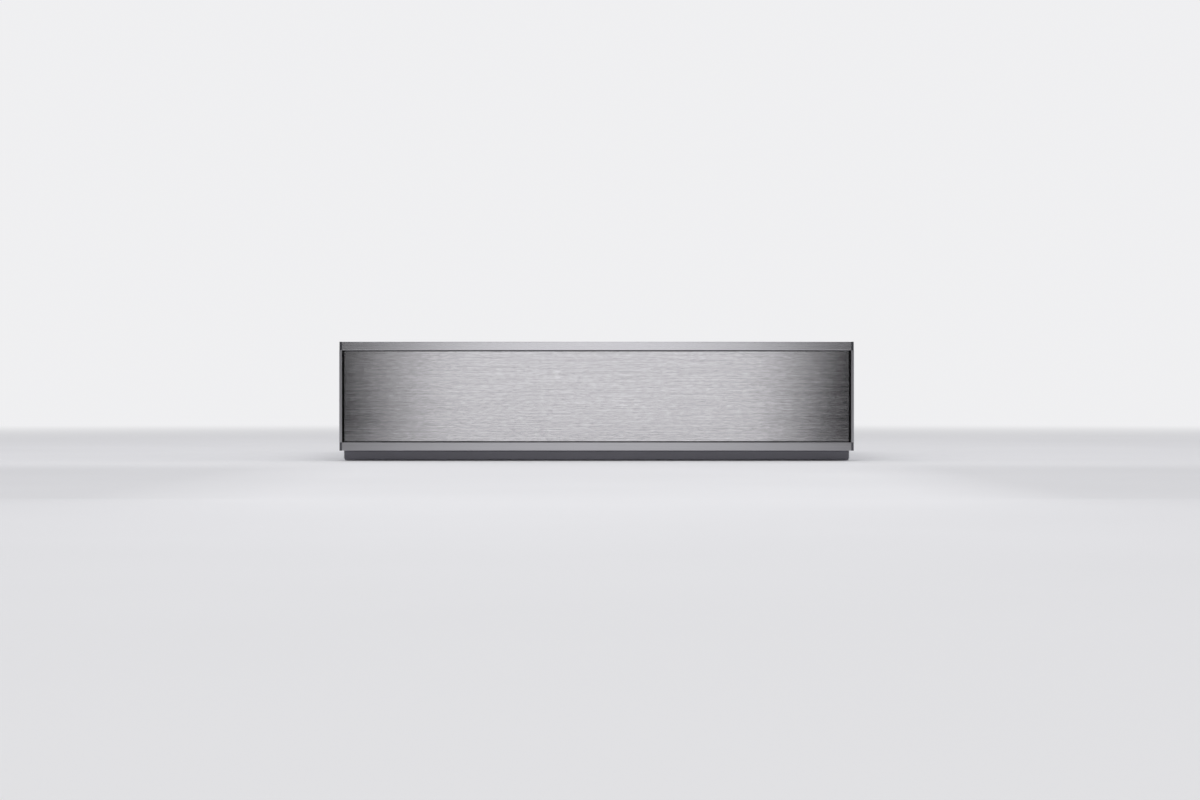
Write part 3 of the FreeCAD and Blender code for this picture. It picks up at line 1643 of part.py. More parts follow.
def vacuum_pump():
    """The cast pump block with cooling fins on top, an inlet nipple and feet for its rubber mounts."""
    x = (pump_left, pump_right)
    y = centred(motor_y, Sheet.pump_depth / 2)
    block = new_body("pump_block")
    plan = new_sketch(block, "XY_Plane", pump_bottom)
    oblong(plan, x, y)
    pad(block, plan, Sheet.pump_height)
    dress(block, "Fillet", "Radius", Sheet.pump_rounding, lambda edge: along(edge, Z_AXIS))
    groove = new_sketch(block, "XY_Plane", pump_bottom + Sheet.pump_height)
    groove_start = pump_left + Sheet.pump_fin_inset
    groove_x = (groove_start, groove_start + Sheet.pump_fin)
    oblong(groove, groove_x, (y[0] - PROUD, y[1] + PROUD))
    slot = pocket_down(block, groove, Sheet.pump_fin_depth)
    groove_span = Sheet.pump_length - Sheet.pump_fin_inset * 2 - Sheet.pump_fin
    row_of(block, slot, "X_Axis", groove_span / (PUMP_GROOVES - 1), PUMP_GROOVES)
    foot_y = (y[0] - Sheet.pump_foot_reach, y[1] + Sheet.pump_foot_reach)
    foot_z = (mount_top, pump_bottom + OVERLAP)
    feet = [
        box(f"pump_foot_{index}", centred(foot_x, Sheet.pump_foot_width / 2), foot_y, foot_z)
        for index, foot_x in enumerate(pump_foot_places())
    ]
    nipple_start = (pump_left - Sheet.barb_length, motor_y, motor_level)
    nipple = rod("pump_nipple", "X", nipple_start, Sheet.barb_length + PROUD, barb_radius)
    bore_start = (pump_right - Sheet.shaft_bore, motor_y, motor_level)
    bore_radius = Sheet.shaft_radius + Sheet.shaft_play
    bore = rod("pump_bore", "X", bore_start, Sheet.shaft_bore + PROUD, bore_radius)
    kept("pump_housing", cut("pump_housing", fused("pump_outer", [block, *feet, nipple]), [bore]))


def pump_motor():
    """The motor's ribbed casing beside the pump, with a cradle foot."""
    length = Sheet.motor_length
    inner_radius = Sheet.motor_radius - Sheet.motor_rib_height
    casing = rod("motor_casing", "X", (pump_right, motor_y, motor_level), length, inner_radius)
    bands = [
        rod(f"motor_band_{end}", "X", (x, motor_y, motor_level), Sheet.motor_band, Sheet.motor_radius)
        for end, x in (("left", pump_right), ("right", motor_right - Sheet.motor_band))
    ]
    ribs = []
    half_rib = Sheet.motor_rib_width / 2
    for index in range(MOTOR_RIBS):
        rib = doc.addObject("Part::Box", f"motor_rib_{index}")
        bind(rib, "Length", length)
        bind(rib, "Width", half_rib * 2)
        bind(rib, "Height", Sheet.motor_radius - PROUD)
        angle = 2 * math.pi / MOTOR_RIBS * index
        turn = Rotation(X_AXIS, math.degrees(angle))
        y = motor_y - half_rib * math.cos(angle)
        z = motor_level - half_rib * math.sin(angle)
        place(rib, pump_right, y, z, turn)
        ribs.append(rib)
    cradle = box(
        "motor_cradle",
        centred((pump_right + motor_right) / 2, Sheet.cradle_width / 2),
        centred(motor_y, Sheet.cradle_depth / 2),
        (mount_top, mount_top + Sheet.cradle_height),
    )
    bore_start = (pump_right - PROUD, motor_y, motor_level)
    bore_radius = Sheet.shaft_radius + Sheet.shaft_play
    bore = rod("motor_bore", "X", bore_start, length + PROUD * 2, bore_radius)
    outer = fused("motor_outer", [casing, *bands, *ribs, cradle])
    kept("pump_motor", cut("pump_motor", outer, [bore]))


def pump_mounts():
    """The rubber mounts that keep the pump's shaking out of the drawer."""
    pump_reach = Sheet.pump_depth / 2 + Sheet.pump_foot_reach - Sheet.mount_radius
    cradle_reach = Sheet.cradle_depth / 2 - Sheet.mount_radius - Sheet.cradle_margin
    motor_middle = (pump_right + motor_right) / 2
    places = [(x, pump_reach) for x in pump_foot_places()] + [(motor_middle, cradle_reach)]
    mounts = []
    for x, reach in places:
        for end in SIDES.values():
            start = (x, motor_y + reach * end, drawer_floor_top)
            name = f"pump_mount_{len(mounts)}"
            mounts.append(rod(name, "Z", start, Sheet.mount_height, Sheet.mount_radius))
    kept("pump_mounts", group("pump_mounts", mounts))


def motor_rotor():
    """The shaft from the pump through the motor, and the fan on its free end."""
    shaft_x = pump_right - Sheet.shaft_depth
    fan_x = motor_right + Sheet.fan_gap
    shaft_length = fan_x + Sheet.fan_depth + Sheet.shaft_end - shaft_x
    shaft_start = (shaft_x, motor_y, motor_level)
    kept("motor_shaft", rod("motor_shaft", "X", shaft_start, shaft_length, Sheet.shaft_radius))
    fan_start = (fan_x, motor_y, motor_level)
    hub = rod("fan_hub", "X", fan_start, Sheet.fan_depth, Sheet.fan_hub_radius)
    lean = math.radians(FAN_TILT)
    chord = Sheet.fan_chord
    half_sheet = float(Sheet.fan_blade_sheet) / 2
    half_chord = float(chord) / 2
    corner = Vector(
        float(Sheet.fan_depth) / 2 - half_chord * math.cos(lean) + half_sheet * math.sin(lean),
        -half_chord * math.sin(lean) - half_sheet * math.cos(lean),
        float(Sheet.fan_blade_root),
    )
    blades = []
    for index in range(FAN_BLADES):
        blade = doc.addObject("Part::Box", f"fan_blade_{index}")
        bind(blade, "Length", chord)
        bind(blade, "Width", Sheet.fan_blade_sheet)
        bind(blade, "Height", Sheet.fan_radius - Sheet.fan_blade_root)
        around = Rotation(X_AXIS, 360 / FAN_BLADES * index)
        turn = around.multiply(Rotation(Z_AXIS, FAN_TILT))
        offset = around.multVec(corner)
        place(blade, fan_x + offset.x, motor_y + offset.y, motor_level + offset.z, turn)
        blades.append(blade)
    bore_start = (fan_x - PROUD, motor_y, motor_level)
    bore = rod("fan_bore", "X", bore_start, Sheet.fan_depth + PROUD * 2, Sheet.shaft_radius)
    kept("cooling_fan", cut("cooling_fan", fused("fan_outer", [hub, *blades]), [bore]))


def valves():
    """The manifold in the left rear corner with its three solenoid valves."""
    x = centred(-side_bay, Sheet.manifold_width / 2)
    coil_bottom = drawer_floor_top + Sheet.manifold_height
    block = box("manifold_block", x, (valve_front, valve_back), (drawer_floor_top, coil_bottom))
    reach = Sheet.barb_length + PROUD
    barb_y = valve_front - Sheet.barb_length
    suction = rod("manifold_suction", "Y", (suction_x, barb_y, valve_level), reach, barb_radius)
    lift = rod("manifold_lift", "Y", (lift_x, barb_y, hose_level), reach, thin_barb_radius)
    pump = rod("manifold_pump", "X", (x[1] - PROUD, motor_y, valve_level), reach, barb_radius)
    manifold = fused("manifold", [block, suction, lift, pump])
    pitch = (valve_back - valve_front) / VALVES
    coils = []
    for index in range(VALVES):
        y = valve_front + pitch * (index + 0.5)
        start = (-side_bay, y, coil_bottom)
        cap_start = (-side_bay, y, coil_bottom + Sheet.coil_height)
        coil = rod(f"valve_coil_{index}", "Z", start, Sheet.coil_height, Sheet.coil_radius)
        cap = rod(f"valve_cap_{index}", "Z", cap_start, Sheet.coil_cap_height, Sheet.coil_cap_radius)
        coils.append(fused(f"valve_{index}", [coil, cap]))
    kept("solenoid_valves", group("solenoid_valves", [manifold, *coils]))


def hose(name, points, radius, bore):
    """A hose along straight runs joined by arcs, each arc as large as its two runs allow."""
    route = [Vector(*(float(value) for value in point)) for point in points]
    edges = []
    start = route[0]
    for before, corner, after in zip(route, route[1:], route[2:]):
        back = (before - corner).normalize()
        ahead = (after - corner).normalize()
        turn = math.pi - back.getAngle(ahead)
        reach = BEND_SHARE * min((before - corner).Length, (after - corner).Length)
        arc_radius = reach / math.tan(turn / 2)
        first = corner + back * reach
        last = corner + ahead * reach
        inward = (back + ahead).normalize()
        middle = corner + inward * (arc_radius / math.cos(turn / 2) - arc_radius)
        edges.append(Part.LineSegment(start, first).toShape())
        edges.append(Part.Arc(first, middle, last).toShape())
        start = last
        print(f"{name}: arc radius {arc_radius:.1f} mm")
    edges.append(Part.LineSegment(start, route[-1]).toShape())
    path = Part.Wire(edges)
    tubes = []
    for size in (float(radius), float(bore)):
        direction = (route[1] - route[0]).normalize()
        section = Part.Wire([Part.makeCircle(size, route[0], direction)])
        tubes.append(path.makePipeShell([section], True, False))
    tube = tubes[0].cut(tubes[1])
    expected = math.pi * (float(radius) ** 2 - float(bore) ** 2) * path.Length
    if abs(tube.Volume - expected) > VOLUME_TOLERANCE * expected:
        raise ValueError(f"{name} isn't a clean tube")
    feature = doc.addObject("Part::Feature", name)
    feature.Shape = tube
    return feature


def hoses():
    """The hoses from the chamber to the valves, from the valves to the pump and to the lift cylinders."""
    end_gap = Sheet.hose_end_gap
    valve_face = valve_front - end_gap
    port_face = -half_tub - Sheet.port_nut - end_gap
    manifold_side = -side_bay + Sheet.manifold_width / 2 + end_gap
    pump_face = pump_left - end_gap
    pump_middle = (pump_face + manifold_side) / 2
    descent = port_y + (valve_face - port_y) * SUCTION_DESCENT
    left_piston, right_piston = piston_places()
    block_reach = Sheet.cylinder_block / 2 + end_gap
    runs = {
        "suction_hose": [
            (port_face, port_y, port_level),
            (suction_x, port_y, port_level),
            (suction_x, descent, valve_level),
            (suction_x, valve_face, valve_level),
        ],
        "pump_hose": [
            (pump_face, motor_y, motor_level),
            (pump_middle + Sheet.pump_hose_bend, motor_y, motor_level),
            (pump_middle - Sheet.pump_hose_bend, motor_y, valve_level),
            (manifold_side, motor_y, valve_level),
        ],
    }
    thin_runs = {
        "lift_link_hose": [
            (left_piston + block_reach, bar_y, hose_level),
            (right_piston - block_reach, bar_y, hose_level),
        ],
        "lift_hose": [
            (left_piston - block_reach, bar_y, hose_level),
            (lift_x, bar_y, hose_level),
            (lift_x, valve_face, hose_level),
        ],
    }
    made = [hose(name, run, Sheet.hose_radius, Sheet.hose_bore) for name, run in runs.items()]
    made += [
        hose(name, run, Sheet.thin_hose_radius, Sheet.thin_hose_bore)
        for name, run in thin_runs.items()
    ]
    kept("vacuum_hoses", group("vacuum_hoses", made))


def transformer():
    """The transformer that heats the sealing bar, beside the chamber on the right."""
    middle = chamber_front + Sheet.core_start + Sheet.core_length / 2
    winding_bottom = drawer_floor_top + (Sheet.core_height - Sheet.winding_height) / 2
    core = box(
        "transformer_core",
        centred(side_bay, Sheet.core_width / 2),
        centred(middle, Sheet.core_length / 2),
        (drawer_floor_top, drawer_floor_top + Sheet.core_height),
    )
    winding = box(
        "transformer_winding",
        centred(side_bay, Sheet.winding_width / 2),
        centred(middle, Sheet.winding_length / 2),
        (winding_bottom, winding_bottom + Sheet.winding_height),
    )
    kept("transformer", fused("transformer", [core, winding]))


def power_board():
    """The power board on its pillars, in front of the transformer."""
    half_length = Sheet.board_length / 2
    half_width = Sheet.board_width / 2
    middle = chamber_front + Sheet.board_start + half_length
    bottom = drawer_floor_top + Sheet.pillar_height
    top = bottom + Sheet.board_thickness
    pillars = []
    for side in SIDES.values():
        for end in SIDES.values():
            x = side_bay + (half_width - Sheet.pillar_inset) * side
            y = middle + (half_length - Sheet.pillar_inset) * end
            name = f"board_pillar_{len(pillars)}"
            start = (x, y, drawer_floor_top)
            pillars.append(rod(name, "Z", start, Sheet.pillar_height, Sheet.pillar_radius))
    plate_y = centred(middle, half_length)
    plate = box("power_plate", centred(side_bay, half_width), plate_y, (bottom, top))
    right_x = side_bay + half_width / 2 - Sheet.capacitor_inset
    left_x = side_bay - half_width / 2
    capacitor_start = (right_x, middle - half_length / 2, top)
    capacitor_height = Sheet.capacitor_height
    capacitor = rod("capacitor", "Z", capacitor_start, capacitor_height, Sheet.capacitor_radius)
    relays = [
        box(
            f"power_relay_{index}",
            centred(left_x, Sheet.relay_width / 2),
            centred(middle + Sheet.relay_pitch * (index - 1), Sheet.relay_length / 2),
            (top, top + Sheet.relay_height),
        )
        for index in range(RELAYS)
    ]
    sink_y = middle + Sheet.pillar_inset
    sink_x = centred(right_x, Sheet.sink_width / 2)
    sink_base = (top, top + Sheet.sink_fin)
    sink = box("power_sink", sink_x, (sink_y, sink_y + Sheet.sink_length), sink_base)
    fin_pitch = (Sheet.sink_length - Sheet.sink_fin) / (SINK_FINS - 1)
    fins = []
    for index in range(SINK_FINS):
        start = sink_y + fin_pitch * index
        span = (start, start + Sheet.sink_fin)
        fins.append(box(f"power_fin_{index}", sink_x, span, (top, top + Sheet.sink_height)))
    pieces = [plate, *pillars, capacitor, *relays, sink, *fins]
    kept("power_board", fused("power_board", pieces))


front_frame()
front_panel()
front_carrier()
front_back_plate()
lower_trim()
housing_base()
for side_name, side_sign in SIDES.items():
    housing_side(side_name, side_sign)
housing_top_pieces()
housing_rear()
mains_inlet()
push_latch()
housing_fasteners()
runners()
for side_name, side_sign in SIDES.items():
    drawer_side(side_name, side_sign)
drawer_floor_and_rear()
deck_plate()
control_strip()
chamber()
suction_port()
lift_cylinders()
sealing_bar()
bag_clip()
lid()
lid_seal()
counter_bar()
lid_hinges()
vacuum_pump()
pump_motor()
pump_mounts()
motor_rotor()
valves()
hoses()
transformer()
power_board()

doc.recompute()
for item in doc.Objects:
    if "Invalid" in item.State or "Error" in item.State:
        raise RuntimeError(f"{item.Label} failed: {item.State}")
for label, part in parts.items():
    if part.Shape.isNull() or not part.Shape.isValid():
        raise RuntimeError(f"{label} has no sound shape")

os.makedirs("parts", exist_ok=True)
for label, part in parts.items():
    part.Shape.exportStep(f"parts/{label}.step")
print(f"{len(parts)} sub-parts written")
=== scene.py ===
# A built-in vacuum sealing drawer for a kitchen column 60 cm wide, closed, with its lid down.
# Metres, in the frame's own axes: X across, Y back from the front, Z up from the floor it stands on.

import math

import bmesh
import bpy
from mathutils import Matrix, Vector


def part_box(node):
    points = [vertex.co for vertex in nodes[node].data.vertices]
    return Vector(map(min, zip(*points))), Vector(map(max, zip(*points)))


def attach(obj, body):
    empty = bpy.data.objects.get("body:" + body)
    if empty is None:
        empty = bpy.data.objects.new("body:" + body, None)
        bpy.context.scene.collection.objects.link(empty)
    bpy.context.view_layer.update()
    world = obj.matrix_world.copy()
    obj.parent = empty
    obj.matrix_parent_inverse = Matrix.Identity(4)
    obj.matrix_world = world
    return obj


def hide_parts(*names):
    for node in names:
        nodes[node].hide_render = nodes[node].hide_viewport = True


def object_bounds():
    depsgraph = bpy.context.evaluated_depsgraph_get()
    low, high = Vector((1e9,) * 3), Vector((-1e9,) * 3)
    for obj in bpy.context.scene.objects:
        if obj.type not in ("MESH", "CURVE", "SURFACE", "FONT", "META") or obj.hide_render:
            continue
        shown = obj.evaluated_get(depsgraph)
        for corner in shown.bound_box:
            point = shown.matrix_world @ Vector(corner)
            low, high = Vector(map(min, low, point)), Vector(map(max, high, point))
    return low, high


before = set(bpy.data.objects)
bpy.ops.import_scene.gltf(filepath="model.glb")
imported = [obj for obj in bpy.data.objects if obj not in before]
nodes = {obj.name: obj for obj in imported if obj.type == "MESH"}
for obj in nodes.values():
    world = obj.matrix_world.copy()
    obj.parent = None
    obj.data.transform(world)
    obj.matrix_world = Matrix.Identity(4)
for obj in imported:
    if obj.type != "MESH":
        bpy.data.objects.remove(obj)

cad_low, cad_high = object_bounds()
scene = bpy.context.scene
scene.view_settings.view_transform = "Standard"


# The camera stands three metres off, level and square to the front. The columns and rows are places in
# the photograph's 1200 by 800 frame: the front's two ends and its top edge, which give scale and height.
PHOTO_WIDTH, PHOTO_HEIGHT = 1200, 800
FRONT_LEFT_COLUMN, FRONT_RIGHT_COLUMN, FRONT_TOP_ROW = 339.3, 853.9, 341.7
CAMERA_DISTANCE = 3.0
SENSOR = 36.0
pixel = (cad_high.x - cad_low.x) / (FRONT_RIGHT_COLUMN - FRONT_LEFT_COLUMN)
camera_data = bpy.data.cameras.new("camera")
camera_data.sensor_width = SENSOR
camera_data.lens = SENSOR * CAMERA_DISTANCE / (PHOTO_WIDTH * pixel)
camera = bpy.data.objects.new("camera", camera_data)
scene.collection.objects.link(camera)
camera.location = (
    (PHOTO_WIDTH - FRONT_LEFT_COLUMN - FRONT_RIGHT_COLUMN) / 2 * pixel,
    cad_low.y - CAMERA_DISTANCE,
    cad_high.z - (PHOTO_HEIGHT / 2 - FRONT_TOP_ROW) * pixel,
)
camera.rotation_euler = (math.radians(90), 0, 0)
scene.camera = camera


# The studio's floor: a pale matt sheet without a seam, just under the drawer's feet. It is paler to the
# camera and to mirrors and glass than to the light, and far off it fades into the air.
FLOOR_SIZE, FLOOR_DROP = 14.0, 0.0002
AIR_COLOUR, AIR_LIGHT, AIR_SEEN = (0.985, 0.985, 1.0), 0.5, 0.88
FADE_START, FADE_END = 0.9, 4.5
SEEN_RAYS = ("Is Camera Ray", "Is Glossy Ray", "Is Transmission Ray")


class Value:
    """A socket among the nodes of a shading; sums on it write Math nodes."""

    def __init__(self, shading, socket):
        self.shading = shading
        self.socket = socket

    def math(self, operation, first, second=0.0):
        return self.shading.node("Math", {"operation": operation}, {0: first, 1: second})

    def __add__(self, other):
        return self.math("ADD", self, other)

    def __sub__(self, other):
        return self.math("SUBTRACT", self, other)

    def __rsub__(self, other):
        return self.math("SUBTRACT", other, self)

    def __mul__(self, other):
        return self.math("MULTIPLY", self, other)

    def __pow__(self, other):
        return self.math("POWER", self, other)

    def __abs__(self):
        return self.math("ABSOLUTE", self)

    def under(self, limit):
        return self.math("LESS_THAN", self, limit)

    def over(self, limit):
        return self.math("GREATER_THAN", self, limit)

    def least(self, other):
        return self.math("MINIMUM", self, other)

    def most(self, other):
        return self.math("MAXIMUM", self, other)

    __radd__ = __add__
    __rmul__ = __mul__


class Shading:
    """The shader nodes of a material or of the air."""

    def __init__(self, tree):
        self.tree = tree

    def node(self, kind, settings={}, sockets={}, out=0):
        """Adds a node of any kind, sets it up, feeds its sockets and returns one of its outputs."""
        node = self.tree.nodes.new(f"ShaderNode{kind}")
        for name, value in settings.items():
            if name == "stops":
                ramp = node.color_ramp
                while len(ramp.elements) < len(value):
                    ramp.elements.new(1.0)
                for element, (at, colour) in zip(ramp.elements, value):
                    element.position = at
                    element.color = (*colour, 1)
            else:
                setattr(node, name, value)
        for name, value in sockets.items():
            self.feed(node.inputs[name], value)
        return Value(self, node.outputs[out])

    def feed(self, socket, value):
        if isinstance(value, Value):
            self.tree.links.new(value.socket, socket)
        elif socket.type == "RGBA" and len(value) == 3:
            socket.default_value = (*value, 1)
        else:
            socket.default_value = value


class Finish(Shading):
    """A material: a Principled shader with fixed sockets, and what feeds it."""

    def __init__(self, name, **fixed):
        self.material = bpy.data.materials.new(name)
        self.material.use_nodes = True
        super().__init__(self.material.node_tree)
        self.shader = self.tree.nodes["Principled BSDF"]
        self.output = self.tree.nodes["Material Output"]
        for socket, value in fixed.items():
            self.given(socket.replace("_", " ").title(), value)
        self.place = self.node("TexCoord", out="Object")

    def given(self, socket, value):
        """Sets or feeds a socket of the shader."""
        self.feed(self.shader.inputs[socket], value)

    def stretched(self, per_metre):
        """The place on the piece, counted in cells: so many to the metre along each axis."""
        return self.node("VectorMath", {"operation": "MULTIPLY"}, {0: self.place, 1: per_metre})

    def noise(self, per_metre, detail=2.0, rough=0.5):
        sockets = {"Vector": self.stretched(per_metre), "Scale": 1.0, "Detail": detail}
        return self.node("TexNoise", {}, {**sockets, "Roughness": rough})

    def axes(self):
        """The place's X, Y and Z."""
        return [self.node("SeparateXYZ", {}, {0: self.place}, out=axis) for axis in "XYZ"]

    def mixed(self, share, first, second):
        """A colour between two, by share."""
        return self.node("Mix", {"data_type": "RGBA"}, {0: share, 6: first, 7: second}, out=2)

    def coloured(self, value):
        self.given("Base Color", value)

    def varied(self, share, colour, spread):
        """A colour that drifts to darker and paler by a spread."""
        self.coloured(self.mixed(share, dimmer(colour, 1 - spread), dimmer(colour, 1 + spread)))

    def bumped(self, height, distance):
        self.given("Normal", self.node("Bump", {}, {"Height": height, "Distance": distance, "Strength": 1.0}))


def tone(red, green, blue):
    """A colour given as it looks on a screen, from 0 to 255, as a linear one."""
    return tuple(
        part / 255 / 12.92 if part <= 10 else ((part / 255 + 0.055) / 1.055) ** 2.4
        for part in (red, green, blue)
    )


def dimmer(colour, share):
    return tuple(part * share for part in colour)


def modelled(name, form, finish):
    """Turns a finished form into an object with one finish."""
    mesh = bpy.data.meshes.new(name)
    form.to_mesh(mesh)
    form.free()
    mesh.materials.append(finish.material)
    thing = bpy.data.objects.new(name, mesh)
    scene.collection.objects.link(thing)
    return thing


floor_form = bmesh.new()
lower = Matrix.Translation((0, 0, -FLOOR_DROP))
bmesh.ops.create_grid(floor_form, x_segments=2, y_segments=2, size=FLOOR_SIZE / 2, matrix=lower)
floor_finish = Finish("pale_floor", roughness=0.9)
floor_cloud = floor_finish.noise((3, 3, 3))
floor_lit = floor_finish.mixed(floor_cloud, tone(214, 215, 218), tone(220, 221, 224))
floor_seen = floor_finish.mixed(floor_cloud, tone(232, 232, 235), tone(238, 238, 241))
seen = sum(floor_finish.node("LightPath", out=kind) for kind in SEEN_RAYS)
floor_finish.coloured(floor_finish.mixed(seen, floor_lit, floor_seen))
reach = floor_finish.node("VectorMath", {"operation": "LENGTH"}, {0: floor_finish.place}, out="Value")
fade = {"Value": reach, "From Min": FADE_START, "From Max": FADE_END}
far = floor_finish.node("MapRange", {"interpolation_type": "SMOOTHSTEP"}, fade)
haze = floor_finish.node("Emission", {}, {0: AIR_COLOUR, 1: AIR_SEEN})
near = Value(floor_finish, floor_finish.shader.outputs[0])
floor_look = floor_finish.node("MixShader", {}, {0: far * seen, 1: near, 2: haze})
floor_finish.feed(floor_finish.output.inputs["Surface"], floor_look)
floor = modelled("floor", floor_form, floor_finish)


# The card that the front mirrors, seen by glossy rays only: it stands a good metre before the front, with a
# wing that lies along the floor. It is no lamp but glows, bright in the middle and black at its sides, and so
# paints the reflection of the front's bright middle and dark ends. The glowing part narrows towards the floor
# and again high up, and the foot of the wing, close to the front, glows pale from side to side.
CARD_DISTANCE, CARD_WIDTH, CARD_HEIGHT, WING_GAP, WING_LIFT = 1.15, 3.0, 2.2, 0.02, 0.0005
CARD_LIGHT = ((-0.402, 0.0), (-0.343, 0.42), (-0.246, 1.0), (0.257, 1.0), (0.334, 0.42), (0.378, 0.0))
CARD_STRENGTH, WING_STRENGTH = 1.05, 0.75
NARROWING, FULL_WIDTH_LEVEL, NARROWING_END = 0.85, 0.08, 0.3
TAPER, TAPER_LEVEL = 3.2, 0.15
FOOT_END, FOOT_FADE_END, FOOT_LIGHT = 0.14, 0.37, 0.75
card_finish = Finish("glowing_reflection_card")
card_across, card_back, card_up = card_finish.axes()
narrowed = (FULL_WIDTH_LEVEL - card_up.least(NARROWING_END)) * NARROWING + 1
narrowed = narrowed + (card_up - TAPER_LEVEL).most(0.0) * TAPER
card_share = card_across * narrowed * (1 / CARD_WIDTH) + 0.5
card_stops = [(x / CARD_WIDTH + 0.5, (light, light, light)) for x, light in CARD_LIGHT]
card_light = card_finish.node("ValToRGB", {"stops": card_stops}, {0: card_share})
foot_fade = {"From Min": cad_low.y - FOOT_FADE_END, "From Max": cad_low.y - FOOT_END, "To Max": FOOT_LIGHT}
foot = card_finish.node("MapRange", {}, {"Value": card_back, **foot_fade})
card_light = card_finish.mixed(foot, card_light, (1, 1, 1))
card_strength = card_up.over(WING_LIFT * 2) * (CARD_STRENGTH - WING_STRENGTH) + WING_STRENGTH
# Painted reflection: the card's glow is what the front panel mirrors as its bright middle and dark ends.
card_glow = card_finish.node("Emission", {}, {0: card_light, 1: card_strength})
card_finish.feed(card_finish.output.inputs["Surface"], card_glow)
card_form = bmesh.new()
wing_line = [(CARD_WIDTH * side, cad_low.y - WING_GAP, WING_LIFT) for side in (-0.5, 0.5)]
fold = card_form.edges.new([card_form.verts.new(end) for end in wing_line])
for step in ((0, WING_GAP - CARD_DISTANCE, 0), (0, 0, CARD_HEIGHT)):
    pulled = bmesh.ops.extrude_edge_only(card_form, edges=[fold])["geom"]
    moved = [item for item in pulled if isinstance(item, bmesh.types.BMVert)]
    bmesh.ops.translate(card_form, verts=moved, vec=step)
    fold = next(item for item in pulled if isinstance(item, bmesh.types.BMEdge) and item.is_boundary)
card = modelled("glowing_reflection_card", card_form, card_finish)
card.visible_camera = card.visible_diffuse = card.visible_shadow = card.visible_transmission = False


# The air all round, which lights the drawer softly and looks pale to the camera and in mirrors and glass,
# and two soft boxes, before and over the drawer, which are never mirrored themselves.
world = bpy.data.worlds.new("studio")
scene.world = world
world.use_nodes = True
air = Shading(world.node_tree)
background = air.tree.nodes["Background"]
air_seen = sum(air.node("LightPath", out=kind) for kind in SEEN_RAYS)
strength = air.node("MapRange", {}, {"Value": air_seen, "To Min": AIR_LIGHT, "To Max": AIR_SEEN})
air.feed(background.inputs["Strength"], strength)
air.feed(background.inputs["Color"], AIR_COLOUR)


def soft_lamp(name, place, aim, size, power):
    """A soft box at a place, so wide and high, turned to a point."""
    data = bpy.data.lights.new(name, "AREA")
    data.shape = "RECTANGLE"
    data.size, data.size_y = size
    data.energy = power
    lamp = bpy.data.objects.new(name, data)
    lamp.location = place
    lamp.rotation_euler = (Vector(aim) - Vector(place)).to_track_quat("-Z", "Y").to_euler()
    lamp.visible_camera = lamp.visible_glossy = False
    scene.collection.objects.link(lamp)


soft_lamp("front_lamp", place=(0.0, -2.2, 1.9), aim=(0.0, -0.3, 0.0), size=(2.4, 1.9), power=14)
soft_lamp("top_lamp", place=(0.0, 0.3, 2.3), aim=(0, 0, 0), size=(2.8, 2.8), power=22)


# The steel panel of the front, brushed along its length: the belt leaves long fine strokes, and under
# them the metal shows short pale flecks. It is bonded to the carrier behind the clear pane.
HAIR_FINENESS, HAIR_SHARE, FLECK_RELIEF = 2.3, 0.6, 0.4


def finish_nodes(finish, *names):
    """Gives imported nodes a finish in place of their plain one."""
    for name in names:
        for slot in nodes[name].material_slots:
            slot.material = finish.material


def brushed_steel(name, colour, stroke, fleck, contrast, fleck_contrast, roughness, **fixed):
    """Steel with belt strokes and flecks, each given as cells to the metre along the three axes."""
    finish = Finish(name, metallic=1.0, anisotropic_rotation=0.25, **fixed)
    strokes = finish.noise(stroke, detail=3.0, rough=0.6)
    hairs = finish.noise(tuple(cells * HAIR_FINENESS for cells in stroke), detail=2.0, rough=0.7)
    flecks = finish.noise(fleck, detail=3.0, rough=0.65)
    grain = (strokes - 0.5) + (hairs - 0.5) * HAIR_SHARE
    share = grain * contrast + (flecks - 0.5) * fleck_contrast + 0.5
    finish.varied(share, colour, spread=0.28)
    finish.given("Roughness", grain * 0.12 + roughness)
    finish.bumped(grain + flecks * FLECK_RELIEF, distance=0.00002)
    return finish


panel_steel = brushed_steel(
    "brushed_panel_steel",
    tone(198, 197, 200),
    stroke=(13, 1300, 1300),
    fleck=(120, 620, 620),
    contrast=1.25,
    fleck_contrast=1.35,
    roughness=0.16,
    anisotropic=0.3,
)
finish_nodes(panel_steel, "front_steel_panel")


# The clear pane in front of the panel, four millimetres thick with polished, softened edges. A clear film
# bonds it to the steel, so a hair's breadth lies between them. A black band on its two ends is painted shade
# of the joints there.
FILM, POLISH = 0.00005, 0.02


def clear_glass(name, tint, shine=0.04):
    """Clear plate glass: what lies behind shows through, and each face mirrors a little."""
    finish = Finish(name, metallic=1.0, roughness=POLISH, base_color=(1, 1, 1))
    facing = finish.node("LayerWeight", {}, {"Blend": 0.5}, out="Facing")
    share = facing**5.0 * (1 - shine) + shine
    clear = finish.node("BsdfTransparent", {}, {"Color": tint})
    gloss = Value(finish, finish.shader.outputs[0])
    pane = finish.node("MixShader", {}, {0: share, 1: clear, 2: gloss})
    finish.feed(finish.output.inputs["Surface"], pane)
    return finish


def enamelled(glass, mask, colour):
    """Prints enamel on a glass where a mask is 1."""
    mixing = glass.output.inputs["Surface"].links[0].from_node
    mirrored = Value(glass, mixing.inputs[0].links[0].from_socket)
    glass.feed(mixing.inputs[0], mirrored.most(mask))
    glass.given("Metallic", 1 - mask)
    glass.given("Roughness", mask * glass.noise((40, 40, 40)) * 0.1 + POLISH)
    glass.coloured(glass.mixed(mask, (1, 1, 1), colour))


def built(name, form, finish, body, slot, *replaced):
    """Makes a finished form a piece of its own that rides on a body. Its slot of the record is not used."""
    piece = modelled(name, form, finish)
    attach(piece, body)
    if replaced:
        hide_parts(*replaced)
    return piece


